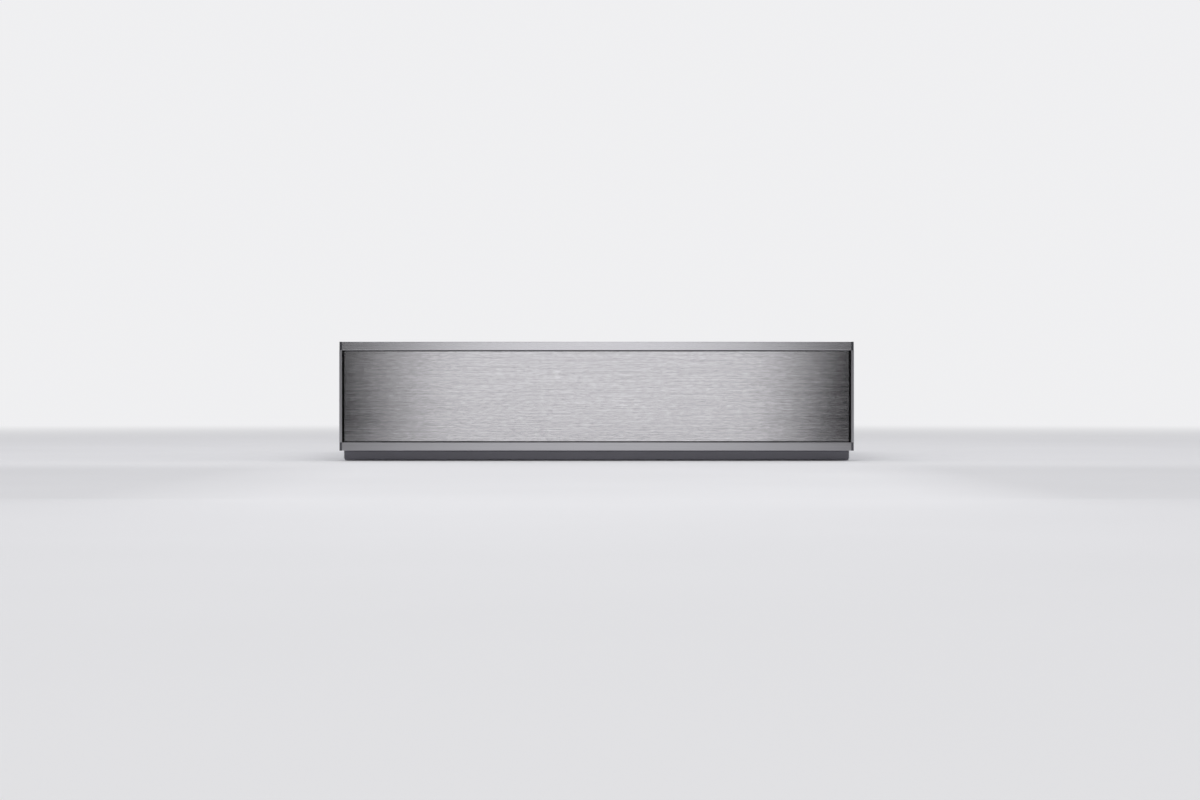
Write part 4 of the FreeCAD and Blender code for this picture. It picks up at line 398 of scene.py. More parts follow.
def softened_block(form, low, high, radius, segments=2):
    """A block between two corners with its edges rounded."""
    low, high = Vector(low), Vector(high)
    place = Matrix.Translation((low + high) / 2) @ Matrix.Diagonal((*(high - low), 1))
    made = bmesh.ops.create_cube(form, size=1, matrix=place)
    edges = list(dict.fromkeys(edge for corner in made["verts"] for edge in corner.link_edges))
    bmesh.ops.bevel(
        form, geom=edges, offset=radius, segments=segments, affect="EDGES", profile=0.5, material=-1
    )


END_SHADE_BAND, PANE_EDGE = 0.0009, 0.0004
pane_low, pane_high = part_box("front_glass_pane")
pane_form = bmesh.new()
softened_block(pane_form, pane_low, pane_high - Vector((0, FILM, 0)), PANE_EDGE, segments=3)
pane_glass = clear_glass("front_pane_glass", (0.99, 0.988, 0.992))
pane_across, _, _ = pane_glass.axes()
# Painted shade: a black band on the pane's two ends darkens the joints there.
enamelled(pane_glass, abs(pane_across).over(pane_high.x - END_SHADE_BAND), (0.006, 0.006, 0.007))
built("front_pane", pane_form, pane_glass, "drawer", "pane_glass", "front_glass_pane")


# The rails over and under the panel and the strips at its ends: extruded aluminium, drawn through a die
# that leaves hair lines along it, then satin anodised. The lower rail's darker tone is painted shade.
# Cast pieces close the rails' ends; their dark tone is partly their own grey and partly painted shade of the
# recessed corners.
def lined_metal(name, colour, stroke, roughness=0.3, contrast=0.5):
    """Drawn or plated metal with fine lines, given as cells to the metre along the three axes."""
    finish = Finish(name, metallic=1.0, anisotropic=0.3, anisotropic_rotation=0.25)
    lines = finish.noise(stroke, detail=3.0, rough=0.6)
    cloud = finish.noise((9, 9, 9))
    share = (lines - 0.5) * contrast + (cloud - 0.5) * 0.1 + 0.5
    finish.varied(share, colour, spread=0.25)
    finish.given("Roughness", lines * 0.1 + (roughness - 0.05))
    finish.bumped(lines, distance=0.00003)
    return finish


ALONG_X, ALONG_Z = (5, 1100, 1100), (1100, 1100, 5)
# The two rails are one aluminium; the lower one gets a darker tone as painted shade, as less light falls on
# it.
rail_aluminium = lined_metal("satin_rail_aluminium", tone(214, 213, 218), ALONG_X, roughness=0.27)
finish_nodes(rail_aluminium, "front_top_rail")
lower_rail_aluminium_painted_shade = lined_metal("lower_rail_aluminium_painted_shade", tone(186, 185, 190), ALONG_X, roughness=0.31)
finish_nodes(lower_rail_aluminium_painted_shade, "front_bottom_rail")
strip_aluminium = lined_metal("satin_strip_aluminium", tone(192, 192, 197), ALONG_Z, roughness=0.4)
finish_nodes(strip_aluminium, "front_side_strips")
# Partly painted shade: the corner pieces' dark tone deepens the shade of their recess.
corner_aluminium_and_shade = lined_metal("corner_aluminium_with_painted_shade", tone(112, 112, 118), ALONG_Z, roughness=0.5)
finish_nodes(corner_aluminium_and_shade, "front_corner_pieces")


# The carrier that the panel is bonded to: one injection moulding in grey plastic, dull and finely grained.
# Its edge is the dark joint that shows round the panel; in the joints at the ends it turns near black, which
# is painted shade.
def moulded_plastic(name, colour, roughness=0.5, grain=1300, depth=0.00004):
    """Moulded plastic or rubber: a fine spark-eroded grain over a faintly uneven colour."""
    finish = Finish(name)
    grains = finish.noise((grain, grain, grain))
    cloud = finish.noise((30, 30, 30))
    finish.varied(cloud, colour, spread=0.3)
    finish.given("Roughness", grains * 0.16 + (roughness - 0.08))
    finish.bumped(grains, distance=depth)
    return finish


JOINT_SHADE_REACH = 0.001
carrier_plastic = moulded_plastic("carrier_plastic", tone(84, 84, 87), roughness=0.6)
carrier_across, _, _ = carrier_plastic.axes()
# Painted shade: the carrier is near black past the panel's ends, where the joints lie in shadow.
joint_shade = abs(carrier_across).over(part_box("front_steel_panel")[1].x - JOINT_SHADE_REACH)
grey_plastic = Value(carrier_plastic, carrier_plastic.shader.inputs["Base Color"].links[0].from_socket)
carrier_plastic.coloured(carrier_plastic.mixed(joint_shade, grey_plastic, tone(14, 14, 15)))
finish_nodes(carrier_plastic, "front_carrier")


# The sheet that closes the front behind, hot-dip galvanised steel like the housing: the zinc freezes in
# flat spangles a few millimetres across, some brighter than others.
SPANGLE_DRIFT, WELD_DEPTH, WELD_SHADE = 0.006, 12, 0.25


def zinc_sheet(name, colour, spangles=170, contrast=0.5, welds=None):
    """Galvanised sheet, with so many spangles to the metre and, where given, rows of spot welds."""
    finish = Finish(name, metallic=0.9)
    drift = finish.node("TexNoise", {}, {"Vector": finish.place, "Scale": 90.0}, out="Color")
    warped = finish.node("VectorMath", {"operation": "SCALE"}, {0: drift, "Scale": SPANGLE_DRIFT})
    spot = finish.node("VectorMath", {"operation": "ADD"}, {0: finish.place, 1: warped})
    cells = finish.node("TexVoronoi", {}, {"Vector": spot, "Scale": float(spangles)}, out="Color") * 1.0
    haze = finish.noise((14, 14, 14), detail=3.0)
    share = (cells - 0.5) * contrast + (haze - 0.5) * 0.7 + 0.5
    relief = cells * 0.3 + finish.noise((900, 900, 900))
    if welds:
        low, high, pitch, radius = welds
        across, back, up = finish.axes()
        along = finish.node("Math", {"operation": "PINGPONG"}, {0: across + back, 1: pitch / 2})
        rise = abs(abs(up - (low + high) / 2) - (high - low) / 2)
        off = (along * along + rise * rise) ** 0.5
        dimple = finish.node("MapRange", {}, {"Value": off, "From Min": radius * 0.6, "From Max": radius})
        relief = relief + dimple * WELD_DEPTH
        share = share + (dimple - 1) * WELD_SHADE
    finish.varied(share, colour, spread=0.2)
    finish.given("Roughness", cells * 0.16 + 0.3)
    finish.bumped(relief, distance=0.00002)
    return finish


plate_zinc = zinc_sheet("plate_zinc", tone(180, 182, 186))
finish_nodes(plate_zinc, "front_back_plate")


# The screws, zinc-plated steel with domed heads and a cross recess, pressed cold in a die. Six hold the
# drawer's sides to the front from inside, and six hold the top pieces to the housing.
def spun(profile, steps=32):
    """A form made by spinning a profile of (radius, height) pairs about Z."""
    part = bmesh.new()
    corners = [part.verts.new((radius, 0, height)) for radius, height in profile]
    edges = [part.edges.new(pair) for pair in zip(corners, corners[1:])]
    around = {"cent": (0, 0, 0), "axis": (0, 0, 1), "angle": math.tau}
    bmesh.ops.spin(part, geom=corners + edges, steps=steps, use_merge=True, **around)
    bmesh.ops.remove_doubles(part, verts=part.verts, dist=0.000001)
    bmesh.ops.recalc_face_normals(part, faces=part.faces)
    return part


def seat(form, part, point, direction=(0, 0, 1)):
    """Adds a finished part to a form, standing on a point and facing a direction."""
    turn = Vector((0, 0, 1)).rotation_difference(Vector(direction)).to_matrix().to_4x4()
    part.transform(Matrix.Translation(point) @ turn)
    loose = bpy.data.meshes.new("part")
    part.to_mesh(loose)
    part.free()
    form.from_mesh(loose)
    bpy.data.meshes.remove(loose)


SCREW_DOME = ((0.96, 0), (1, 0.3), (0.9, 0.75), (0.6, 1))
CROSS_ARM, CROSS_REACH, CROSS_DEPTH, CROSS_TAPER = 0.15, 0.42, 0.7, 0.75


def cross_screw(radius, height):
    """A domed head with a cross recess, standing on Z = 0."""
    dome = [(radius * wide, height * high) for wide, high in SCREW_DOME]
    arm, reach = radius * CROSS_ARM, radius * CROSS_REACH
    cross = []
    for quarter in range(4):
        turn = Matrix.Rotation(math.radians(90 * quarter), 3, "Z")
        cross += [turn @ Vector((x, y, height)) for x, y in ((reach, -arm), (reach, arm), (arm, arm))]
    head = spun(dome, steps=24)
    rim = [edge for edge in head.edges if all(abs(end.co.z - height) < 1e-7 for end in edge.verts)]
    corners = [head.verts.new(place) for place in cross]
    mouth = [head.edges.new((a, b)) for a, b in zip(corners, corners[1:] + corners[:1])]
    bmesh.ops.bridge_loops(head, edges=rim + mouth)
    sunk = bmesh.ops.extrude_edge_only(head, edges=mouth)["geom"]
    deep = [item for item in sunk if isinstance(item, bmesh.types.BMVert)]
    bmesh.ops.translate(head, verts=deep, vec=(0, 0, -height * CROSS_DEPTH))
    bmesh.ops.scale(head, verts=deep, vec=(CROSS_TAPER, CROSS_TAPER, 1))
    bmesh.ops.contextual_create(head, geom=deep)
    bmesh.ops.recalc_face_normals(head, faces=head.faces)
    return head


SCREW_HEAD, SCREW_HEIGHT, SCREW_INSET = 0.0036, 0.0012, 0.014
PLATING = (500, 500, 500)
screw_steel = lined_metal("zinc_plated_steel", tone(188, 190, 192), PLATING, roughness=0.3, contrast=0.3)
low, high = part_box("front_screws")
screw_form = bmesh.new()
for x in (low.x + SCREW_HEAD, high.x - SCREW_HEAD):
    for z in (low.z + SCREW_HEAD, (low.z + high.z) / 2, high.z - SCREW_HEAD):
        seat(screw_form, cross_screw(SCREW_HEAD, SCREW_HEIGHT), (x, high.y - SCREW_HEIGHT, z), (0, 1, 0))
built("front_cross_screws", screw_form, screw_steel, "drawer", "screw_steel", "front_screws")
low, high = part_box("housing_screws")
cover_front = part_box("top_rear_cover")[0].y
screw_form = bmesh.new()
for x in (low.x + SCREW_HEAD, high.x - SCREW_HEAD):
    for y in (low.y + SCREW_HEAD, cover_front + SCREW_INSET, high.y - SCREW_HEAD):
        seat(screw_form, cross_screw(SCREW_HEAD, SCREW_HEIGHT), (x, y, high.z - SCREW_HEIGHT))
built("housing_cross_screws", screw_form, screw_steel, "housing", "screw_steel", "housing_screws")


# The strip under the front, set back from it: an aluminium angle, anodised dark, which closes the gap
# below the housing.
trim_aluminium = lined_metal("dark_trim_aluminium", tone(132, 131, 138), ALONG_X, roughness=0.5)
finish_nodes(trim_aluminium, "lower_front_trim")


# The housing: galvanised sheets, folded and joined by spot welds along their lower and upper edges, which
# stay in the cabinet. The rail and the cover screwed on top leave a window over the lid.
WELD_EDGE, WELD_PITCH, WELD_RADIUS = 0.008, 0.062, 0.0028
housing_low, housing_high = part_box("housing_side_left")
weld_rows = (housing_low.z + WELD_EDGE, housing_high.z - WELD_EDGE, WELD_PITCH, WELD_RADIUS)
housing_zinc = zinc_sheet("galvanised_sheet", tone(176, 178, 182), welds=weld_rows)
finish_nodes(
    housing_zinc,
    "housing_base",
    "housing_side_left",
    "housing_side_right",
    "housing_rear",
    "top_front_rail",
    "top_rear_cover",
)


# The feet under the housing and the buffers on its flanges: black plastic discs with a dished middle, and
# soft domed silicone studs that the front closes against.
black_plastic = moulded_plastic("black_plastic", tone(30, 30, 32), roughness=0.45)
black_silicone = moulded_plastic("black_silicone", tone(26, 26, 28), roughness=0.72, grain=700)


def corner_places(low, high, radius, axes):
    """The four middles of like discs at the corners of a box, along two of its axes."""
    first, second = axes
    return [
        (a, b)
        for a in (low[first] + radius, high[first] - radius)
        for b in (low[second] + radius, high[second] - radius)
    ]


FOOT_RADIUS, FOOT_EDGE, DISH_DEPTH, DISH_FLOOR, DISH_RIM = 0.010, 0.0005, 0.0006, 0.55, 0.68
low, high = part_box("housing_feet")
foot_profile = [
    (0, DISH_DEPTH),
    (FOOT_RADIUS * DISH_FLOOR, DISH_DEPTH),
    (FOOT_RADIUS * DISH_RIM, 0),
    (FOOT_RADIUS - FOOT_EDGE, 0),
    (FOOT_RADIUS, FOOT_EDGE),
    (FOOT_RADIUS, high.z),
    (0, high.z),
]
feet_form = bmesh.new()
for x, y in corner_places(low, high, FOOT_RADIUS, (0, 1)):
    seat(feet_form, spun(foot_profile), (x, y, 0))
built("dished_feet", feet_form, black_plastic, "housing", "black_plastic", "housing_feet")

BUFFER_RADIUS = 0.0045
BUFFER_DOME = ((1, 0), (1, 0.3), (0.93, 0.62), (0.7, 0.88), (0.35, 0.98), (0, 1))
low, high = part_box("front_buffers")
buffer_profile = [(BUFFER_RADIUS * wide, (high.y - low.y) * tall) for wide, tall in BUFFER_DOME]
buffer_form = bmesh.new()
for x, z in corner_places(low, high, BUFFER_RADIUS, (0, 2)):
    seat(buffer_form, spun(buffer_profile), (x, high.y, z), (0, -1, 0))
built("domed_buffers", buffer_form, black_silicone, "housing", "black_silicone", "front_buffers")


# The push-to-open latch behind the drawer and the mains inlet are black mouldings. The inlet's three pins
# are nickel-plated brass, the middle one set higher.
INLET_PINS, PIN_HALF_WIDTH, PIN_HALF_HEIGHT = ((-0.007, -0.002), (0, 0.003), (0.007, -0.002)), 0.0024, 0.0014
finish_nodes(black_plastic, "push_latch_body", "latch_plunger")
inlet_low, inlet_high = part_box("power_inlet")
inlet_middle = (inlet_low + inlet_high) / 2
inlet_finish = moulded_plastic("inlet_plastic", tone(26, 26, 28), roughness=0.5)
across, _, up = inlet_finish.axes()
pins = sum(
    abs(across - (inlet_middle.x + shift)).under(PIN_HALF_WIDTH)
    * abs(up - (inlet_middle.z + rise)).under(PIN_HALF_HEIGHT)
    for shift, rise in INLET_PINS
)
inlet_finish.given("Metallic", pins)
inlet_finish.coloured(inlet_finish.mixed(pins, tone(26, 26, 28), tone(205, 198, 180)))
finish_nodes(inlet_finish, "power_inlet")


# The runners: cold-rolled steel members, bright zinc plated, three each side one inside the other. Sprung
# steel cages keep the polished balls apart, and four screws a side hold the drawer to the inner members.
ALONG_Y, POLISHED = (700, 8, 700), (200, 200, 200)
runner_steel = lined_metal("runner_zinc_plate", tone(186, 190, 196), ALONG_Y, roughness=0.28, contrast=0.4)
finish_nodes(runner_steel, "outer_runners", "middle_runners", "inner_runners")
ball_steel = lined_metal("polished_ball_steel", tone(206, 208, 211), POLISHED, roughness=0.16, contrast=0.15)
finish_nodes(ball_steel, "outer_ball_cages", "inner_ball_cages")
RUNNER_SHEET, RUNNER_SCREWS = 0.0012, 4
low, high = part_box("inner_runners")
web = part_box("drawer_side_right")[1].x + RUNNER_SHEET
screw_form = bmesh.new()
for side in (-1, 1):
    for index in range(RUNNER_SCREWS):
        y = low.y + (high.y - low.y) * (index + 0.5) / RUNNER_SCREWS
        place = (web * side, y, (low.z + high.z) / 2)
        seat(screw_form, cross_screw(SCREW_HEAD, SCREW_HEIGHT), place, (side, 0, 0))
built("runner_cross_screws", screw_form, screw_steel, "drawer", "screw_steel")


# The drawer: a folded galvanised box on the inner runners, under a brushed stainless deck that covers the
# machine parts and frames the chamber.
drawer_zinc = zinc_sheet("drawer_sheet_zinc", tone(182, 184, 188), spangles=210, contrast=0.35)
finish_nodes(drawer_zinc, "drawer_floor", "drawer_side_left", "drawer_side_right", "drawer_rear")
deck_steel = brushed_steel(
    "brushed_deck_steel",
    tone(192, 192, 195),
    stroke=(9, 1200, 1200),
    fleck=(90, 500, 500),
    contrast=0.8,
    fleck_contrast=0.4,
    roughness=0.32,
    anisotropic=0.4,
)
finish_nodes(deck_steel, "deck_plate")


# The control strip at the drawer's front: black glass with softly polished edges on a moulded tray. The
# marks of its six touch keys are printed on it in pale enamel, and don't travel.
glass_low, glass_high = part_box("control_glass")
control_glass = Finish("black_control_glass")
smudge = control_glass.noise((18, 18, 18), detail=4.0, rough=0.7)
control_glass.given("Roughness", smudge * 0.12 + POLISH)
speck = control_glass.noise((60, 60, 60), detail=5.0, rough=0.7)
control_glass.coloured(control_glass.mixed(speck, (0.004, 0.004, 0.005), (0.010, 0.010, 0.012)))
finish_nodes(control_glass, "control_glass")
finish_nodes(black_plastic, "control_housing")

KEYS, KEY_PITCH, KEY_SETBACK, ENAMEL = 6, 0.052, 0.008, 0.00006
key_y = (glass_low.y + glass_high.y) / 2 + KEY_SETBACK
marks = bmesh.new()


def flat_ring(x, y, outer, inner, segments=40):
    """A printed ring, or a disc where it has no hole."""
    place = Matrix.Translation((x, y, glass_high.z + ENAMEL))
    if not inner:
        bmesh.ops.create_circle(marks, cap_ends=True, radius=outer, segments=segments, matrix=place)
        return
    loops = []
    for radius in (outer, inner):
        made = bmesh.ops.create_circle(marks, radius=radius, segments=segments, matrix=place)["verts"]
        loops += dict.fromkeys(edge for corner in made for edge in corner.link_edges)
    bmesh.ops.bridge_loops(marks, edges=loops)


def flat_bar(x, y, length, width, turn=0.0):
    """A printed bar, its length across unless it is turned by some degrees."""
    place = Matrix.Translation((x, y, glass_high.z + ENAMEL)) @ Matrix.Rotation(math.radians(turn), 4, "Z")
    shape = place @ Matrix.Diagonal((length, width, 1, 1))
    bmesh.ops.create_grid(marks, x_segments=1, y_segments=1, size=0.5, matrix=shape)


power_x, level_x, bag_x, time_x, jar_x, start_x = [
    KEY_PITCH * (index - (KEYS - 1) / 2) for index in range(KEYS)
]
RING, LINE, BAR, BAR_PITCH, BAG_HALF = 0.0042, 0.0006, 0.0016, 0.0028, 0.0021
# On and off: a ring with a stroke at its top.
flat_ring(power_x, key_y, RING, inner=RING - LINE)
flat_bar(power_x, key_y + RING * 0.5, RING * 0.9, LINE * 1.4, turn=90)
# The level of vacuum: three bars that grow.
for step in range(3):
    height = RING * (0.7 + 0.5 * step)
    flat_bar(level_x + (step - 1) * BAR_PITCH, key_y - RING + height / 2, height, BAR, turn=90)
# The seal: two edges of a bag with a dashed seam between them.
for row in (-1, 1):
    flat_bar(bag_x, key_y + row * BAG_HALF, RING * 2.2, LINE)
    flat_bar(bag_x + row * RING * 0.8, key_y, BAR, LINE)
flat_bar(bag_x, key_y, BAR, LINE)
# The time: a clock's face with its two hands.
flat_ring(time_x, key_y, RING, inner=RING - LINE)
flat_bar(time_x, key_y + RING * 0.3, RING * 0.6, LINE, turn=90)
flat_bar(time_x + RING * 0.22, key_y, RING * 0.44, LINE)
# A jar with its lid.
for row in (-1, 1):
    flat_bar(jar_x + row * RING * 0.7, key_y - RING * 0.1, RING * 1.6, LINE, turn=90)
    flat_bar(jar_x, key_y - RING * 0.1 + row * RING * 0.8, RING * 1.4 + LINE, LINE)
flat_bar(jar_x, key_y + RING, RING * 0.9, LINE * 1.4)
# Start: a triangle in a ring.
flat_ring(start_x, key_y, RING, inner=RING - LINE)
flat_ring(start_x, key_y, RING * 0.5, inner=0, segments=3)
# The settings: three dots under each of two keys.
DOT, DOT_STEP, DOT_DROP = 0.0006, 0.0036, 0.0105
for x in (level_x, time_x):
    for index in (-1, 0, 1):
        flat_ring(x + index * DOT_STEP, key_y - DOT_DROP, DOT, inner=0, segments=12)
printed = bmesh.ops.extrude_face_region(marks, geom=marks.faces[:], use_keep_orig=True)["geom"]
undersides = [item for item in printed if isinstance(item, bmesh.types.BMVert)]
bmesh.ops.translate(marks, verts=undersides, vec=(0, 0, -ENAMEL / 2))
bmesh.ops.recalc_face_normals(marks, faces=marks.faces)
enamel = moulded_plastic("pale_enamel", tone(186, 188, 190), roughness=0.5, grain=900, depth=0.00001)
built("touch_marks", marks, enamel, "drawer", "control_glass")


# The control board under the glass: green laminate on its tray's bosses, with a black chip and the gilt
# posts under the keys that sense a finger.
RUN_PITCH, RUN_EDGE, RUN_RELIEF = 0.0016, 0.28, 0.00003


def circuit_laminate(name, low, high, parts):
    """Green board between two levels, its copper runs laid in patches that run across or along it."""
    finish = Finish(name, coat_weight=0.3)
    across, along, up = finish.axes()
    patches = {"Vector": finish.stretched((110, 110, 1)), "Scale": 1.0}
    patch = finish.node("TexVoronoi", {"distance": "CHEBYCHEV"}, patches, out="Color") * 1.0
    turned = patch.over(0.5)
    run_place = along * turned + across * (1 - turned)
    runs = finish.node("Math", {"operation": "PINGPONG"}, {0: run_place, 1: RUN_PITCH / 2})
    copper = runs.over(RUN_PITCH * RUN_EDGE)
    colour = finish.mixed(copper, tone(22, 66, 42), tone(40, 96, 58))
    metallic = 0
    for region, paint, metal in parts(across, along, up, up.over(high), up.under(low)):
        colour = finish.mixed(region, colour, paint)
        metallic = region * metal + metallic
    finish.coloured(colour)
    finish.given("Metallic", metallic)
    finish.given("Roughness", 0.4 - copper * 0.08)
    finish.bumped(copper * up.under(high), distance=RUN_RELIEF)
    return finish


BOARD, CHIP, MARGIN = 0.0016, 0.016, 0.0001
board_low, board_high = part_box("control_board")
board_y = (board_low.y + board_high.y) / 2


def control_parts(across, along, up, above, below):
    """What stands on the control board, as masks, each with its colour and what it adds to Metallic."""
    chip = above * abs(across).under(CHIP / 2 + MARGIN) * abs(along - board_y).under(CHIP / 2 + MARGIN)
    return [(above, tone(176, 150, 84), 0.9), (chip, tone(20, 20, 22), -0.9)]


board_top = board_low.z + BOARD + MARGIN
finish_nodes(circuit_laminate("control_laminate", board_low.z, board_top, control_parts), "control_board")


# The chamber: one stainless sheet, deep drawn and satin polished, with a flat rim for the seal. Through
# its left wall goes the suction port, under a slotted black filter cap.
chamber_steel = brushed_steel(
    "satin_chamber_steel",
    tone(196, 196, 199),
    stroke=(30, 1100, 1100),
    fleck=(50, 60, 60),
    contrast=0.4,
    fleck_contrast=0.25,
    roughness=0.24,
    anisotropic=0.2,
)
finish_nodes(chamber_steel, "chamber")
finish_nodes(black_plastic, "suction_port")


# The sealing bar: an aluminium extrusion on two pistons, whose cylinders stand on the chamber's floor. Tan
# glass cloth soaked in PTFE covers its two heating wires, which show through as ridges.
bar_aluminium = lined_metal("bar_aluminium", tone(190, 191, 195), ALONG_X, roughness=0.34)
finish_nodes(bar_aluminium, "sealing_bar")
cylinder_aluminium = lined_metal("cylinder_aluminium", tone(178, 179, 184), ALONG_Z, roughness=0.34)
finish_nodes(cylinder_aluminium, "lift_cylinders", "lift_pistons")
THREADS_PER_METRE, WIRE_SPREAD, SCORCH = 1700, 0.0022, 0.0013
tape_low, tape_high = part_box("sealing_tape")
wire_rows = [(tape_low.y + tape_high.y) / 2 + WIRE_SPREAD * side for side in (-1, 1)]
tape_cloth = Finish("tape_cloth", coat_weight=0.25)
tape_x, tape_y, _ = tape_cloth.axes()
weft, warp = [
    tape_cloth.node("Math", {"operation": "SINE"}, {0: along * (math.tau * THREADS_PER_METRE)})
    for along in (tape_x, tape_y)
]
weave = weft * warp * 0.5 + 0.5
tape_cloud = tape_cloth.noise((30, 90, 90), detail=3.0)
scorched = sum(abs(tape_y - row).under(SCORCH) for row in wire_rows)
tape_share = weave * 0.2 + tape_cloud * 0.8 - scorched * 0.5
tape_cloth.coloured(tape_cloth.mixed(tape_share, tone(124, 104, 78), tone(172, 152, 122)))
tape_cloth.given("Roughness", weave * 0.15 + 0.32)
tape_cloth.bumped(weave, distance=0.00005)
finish_nodes(tape_cloth, "sealing_tape")
WIRE_HALF, WIRE_RISE, WIRE_END, WIRE_ROUNDING = 0.0008, 0.00018, 0.008, 0.95
wires = bmesh.new()
for row in wire_rows:
    wire_low = (tape_low.x + WIRE_END, row - WIRE_HALF, tape_high.z - WIRE_RISE)
    wire_high = (tape_high.x - WIRE_END, row + WIRE_HALF, tape_high.z + WIRE_RISE)
    softened_block(wires, wire_low, wire_high, WIRE_RISE * WIRE_ROUNDING, segments=3)
built("heating_wires", wires, tape_cloth, "sealing_bar", "sealing_tape")


# The bag clip: a leaf of brushed stainless on a pin, in a bracket on the chamber's front wall. It is lifted
# to take the mouth of a bag, and its spring holds the bag still.
clip_steel = brushed_steel(
    "clip_steel",
    tone(190, 190, 194),
    stroke=(20, 900, 900),
    fleck=(300, 300, 300),
    contrast=0.4,
    fleck_contrast=0.3,
    roughness=0.26,
)
finish_nodes(clip_steel, "bag_clip", "bag_clip_bracket")


# The lid: a plate of toughened glass with ground and polished edges. A black enamel border, fired on its
# underside, hides the seal. Aluminium extrusions hold it at the rear, where the hinges are, and in front.
LID_EDGE, SEAL_COVER, BORDER_CORNER = 0.0009, 0.0095, 0.018
lid_low, lid_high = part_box("lid_glass")
lid_form = bmesh.new()
inside = Vector((0, 0, FILM))
softened_block(lid_form, lid_low + inside, lid_high - inside, LID_EDGE, segments=3)
lid_pane_glass = clear_glass("lid_pane_glass", (0.952, 0.975, 0.964))
seal_low, seal_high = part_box("lid_seal")
seal_middle = (seal_low + seal_high) / 2
border_inset = Vector((1, 1, 0)) * (SEAL_COVER + BORDER_CORNER)
clear_half = (seal_high - seal_low) / 2 - border_inset


def on_lid(operation, *values, out=0):
    """A Vector Math node on the lid's glass."""
    return lid_pane_glass.node("VectorMath", {"operation": operation}, dict(enumerate(values)), out)


flat_place = on_lid("MULTIPLY_ADD", lid_pane_glass.place, (1, 1, 0), (-seal_middle.x, -seal_middle.y, 0))
past = on_lid("SUBTRACT", on_lid("ABSOLUTE", flat_place), (*clear_half.xy, 0))
border = on_lid("LENGTH", on_lid("MAXIMUM", past, (0, 0, 0)), out="Value").over(BORDER_CORNER)
enamelled(lid_pane_glass, border, (0.008, 0.008, 0.009))
built("lid_pane", lid_form, lid_pane_glass, "lid", "lid_glass", "lid_glass")
lid_aluminium = lined_metal("lid_aluminium", tone(186, 187, 191), ALONG_X, roughness=0.34)
finish_nodes(lid_aluminium, "lid_front_trim", "lid_rear_profile", "counter_bar_holder")
finish_nodes(black_silicone, "lid_seal")
counter_silicone = moulded_plastic("counter_silicone", tone(120, 42, 34), roughness=0.6, grain=900)
finish_nodes(counter_silicone, "counter_bar")


# The hinges of the lid: brackets folded from nickel-plated sheet and fixed to the deck, with ground steel
# pins through them and through the knuckles of the lid's rear profile.
hinge_steel = lined_metal("hinge_nickel", tone(196, 193, 188), (300, 300, 300), roughness=0.25, contrast=0.2)
finish_nodes(hinge_steel, "hinge_brackets")
finish_nodes(ball_steel, "hinge_pins")


# The vacuum pump: a die-cast aluminium block, blasted, with cooling fins on top and cap screws in its end.
# It and the motor stand on rubber mounts.
def cast_metal(name, colour, roughness, metallic):
    """Cast or enamelled metal with a faintly pitted surface."""
    finish = Finish(name, metallic=metallic)
    pits = finish.noise((420, 420, 420), detail=3.0, rough=0.6)
    cloud = finish.noise((25, 25, 25), detail=3.0)
    finish.varied(pits * 0.5 + cloud * 0.5, colour, spread=0.3)
    finish.given("Roughness", pits * 0.2 + (roughness - 0.1))
    finish.bumped(pits, distance=0.00015)
    return finish


finish_nodes(cast_metal("cast_aluminium", tone(158, 160, 163), roughness=0.55, metallic=0.9), "pump_housing")
finish_nodes(cast_metal("motor_enamel", tone(44, 46, 50), roughness=0.4, metallic=0.0), "pump_motor")
finish_nodes(black_silicone, "pump_mounts")
finish_nodes(ball_steel, "motor_shaft")
finish_nodes(moulded_plastic("fan_plastic", tone(64, 66, 70), roughness=0.5), "cooling_fan")

CAP_RADIUS, CAP_HEIGHT, CAP_EDGE, SOCKET_RADIUS, SOCKET_DEPTH = 0.004, 0.004, 0.0005, 0.002, 0.0025
PUMP_BARB, PUMP_FEET, PUMP_FOOT_SHEET, PUMP_FINS, CAP_INSET = 0.012, 0.010, 0.004, 0.012, 0.010
pump_low, pump_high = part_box("pump_housing")
cap_profile = [
    (CAP_RADIUS, 0),
    (CAP_RADIUS, CAP_HEIGHT - CAP_EDGE),
    (CAP_RADIUS - CAP_EDGE, CAP_HEIGHT),
    (SOCKET_RADIUS, CAP_HEIGHT),
    (SOCKET_RADIUS, CAP_HEIGHT - SOCKET_DEPTH),
    (0, CAP_HEIGHT - SOCKET_DEPTH),
]
cap_screws = bmesh.new()
for y in (pump_low.y + PUMP_FEET + CAP_INSET, pump_high.y - PUMP_FEET - CAP_INSET):
    for z in (pump_low.z + PUMP_FOOT_SHEET + CAP_INSET, pump_high.z - PUMP_FINS - CAP_INSET):
        seat(cap_screws, spun(cap_profile, steps=24), (pump_low.x + PUMP_BARB, y, z), (-1, 0, 0))
built("pump_cap_screws", cap_screws, screw_steel, "drawer", "screw_steel")


# The valves: three moulded coils on a plastic manifold. Each coil stands in a yoke of zinc-plated steel, bent
# from one strip, and has two blade terminals on its inner side.
VALVES, MANIFOLD_DEPTH, MANIFOLD_HEIGHT = 3, 0.058, 0.020
COIL_RADIUS, COIL_CAP, COIL_SETBACK = 0.0085, 0.004, 0.020
YOKE_SHEET, YOKE_GAP, YOKE_WIDTH, YOKE_EDGE = 0.0012, 0.0004, 0.014, 0.0003
BLADE_LENGTH, BLADE_HALF, BLADE_SPREAD = 0.007, 0.0004, 0.003
BLADE_TOP, BLADE_FOOT, BLADE_EDGE = 0.006, 0.012, 0.0002
valve_plastic = moulded_plastic("valve_plastic", tone(38, 40, 44), roughness=0.5)
finish_nodes(valve_plastic, "solenoid_valves")
valve_low, valve_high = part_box("solenoid_valves")
coil_x = valve_low.x + COIL_SETBACK
coil_top = valve_high.z - COIL_CAP
reach = COIL_RADIUS + YOKE_GAP
yokes = bmesh.new()
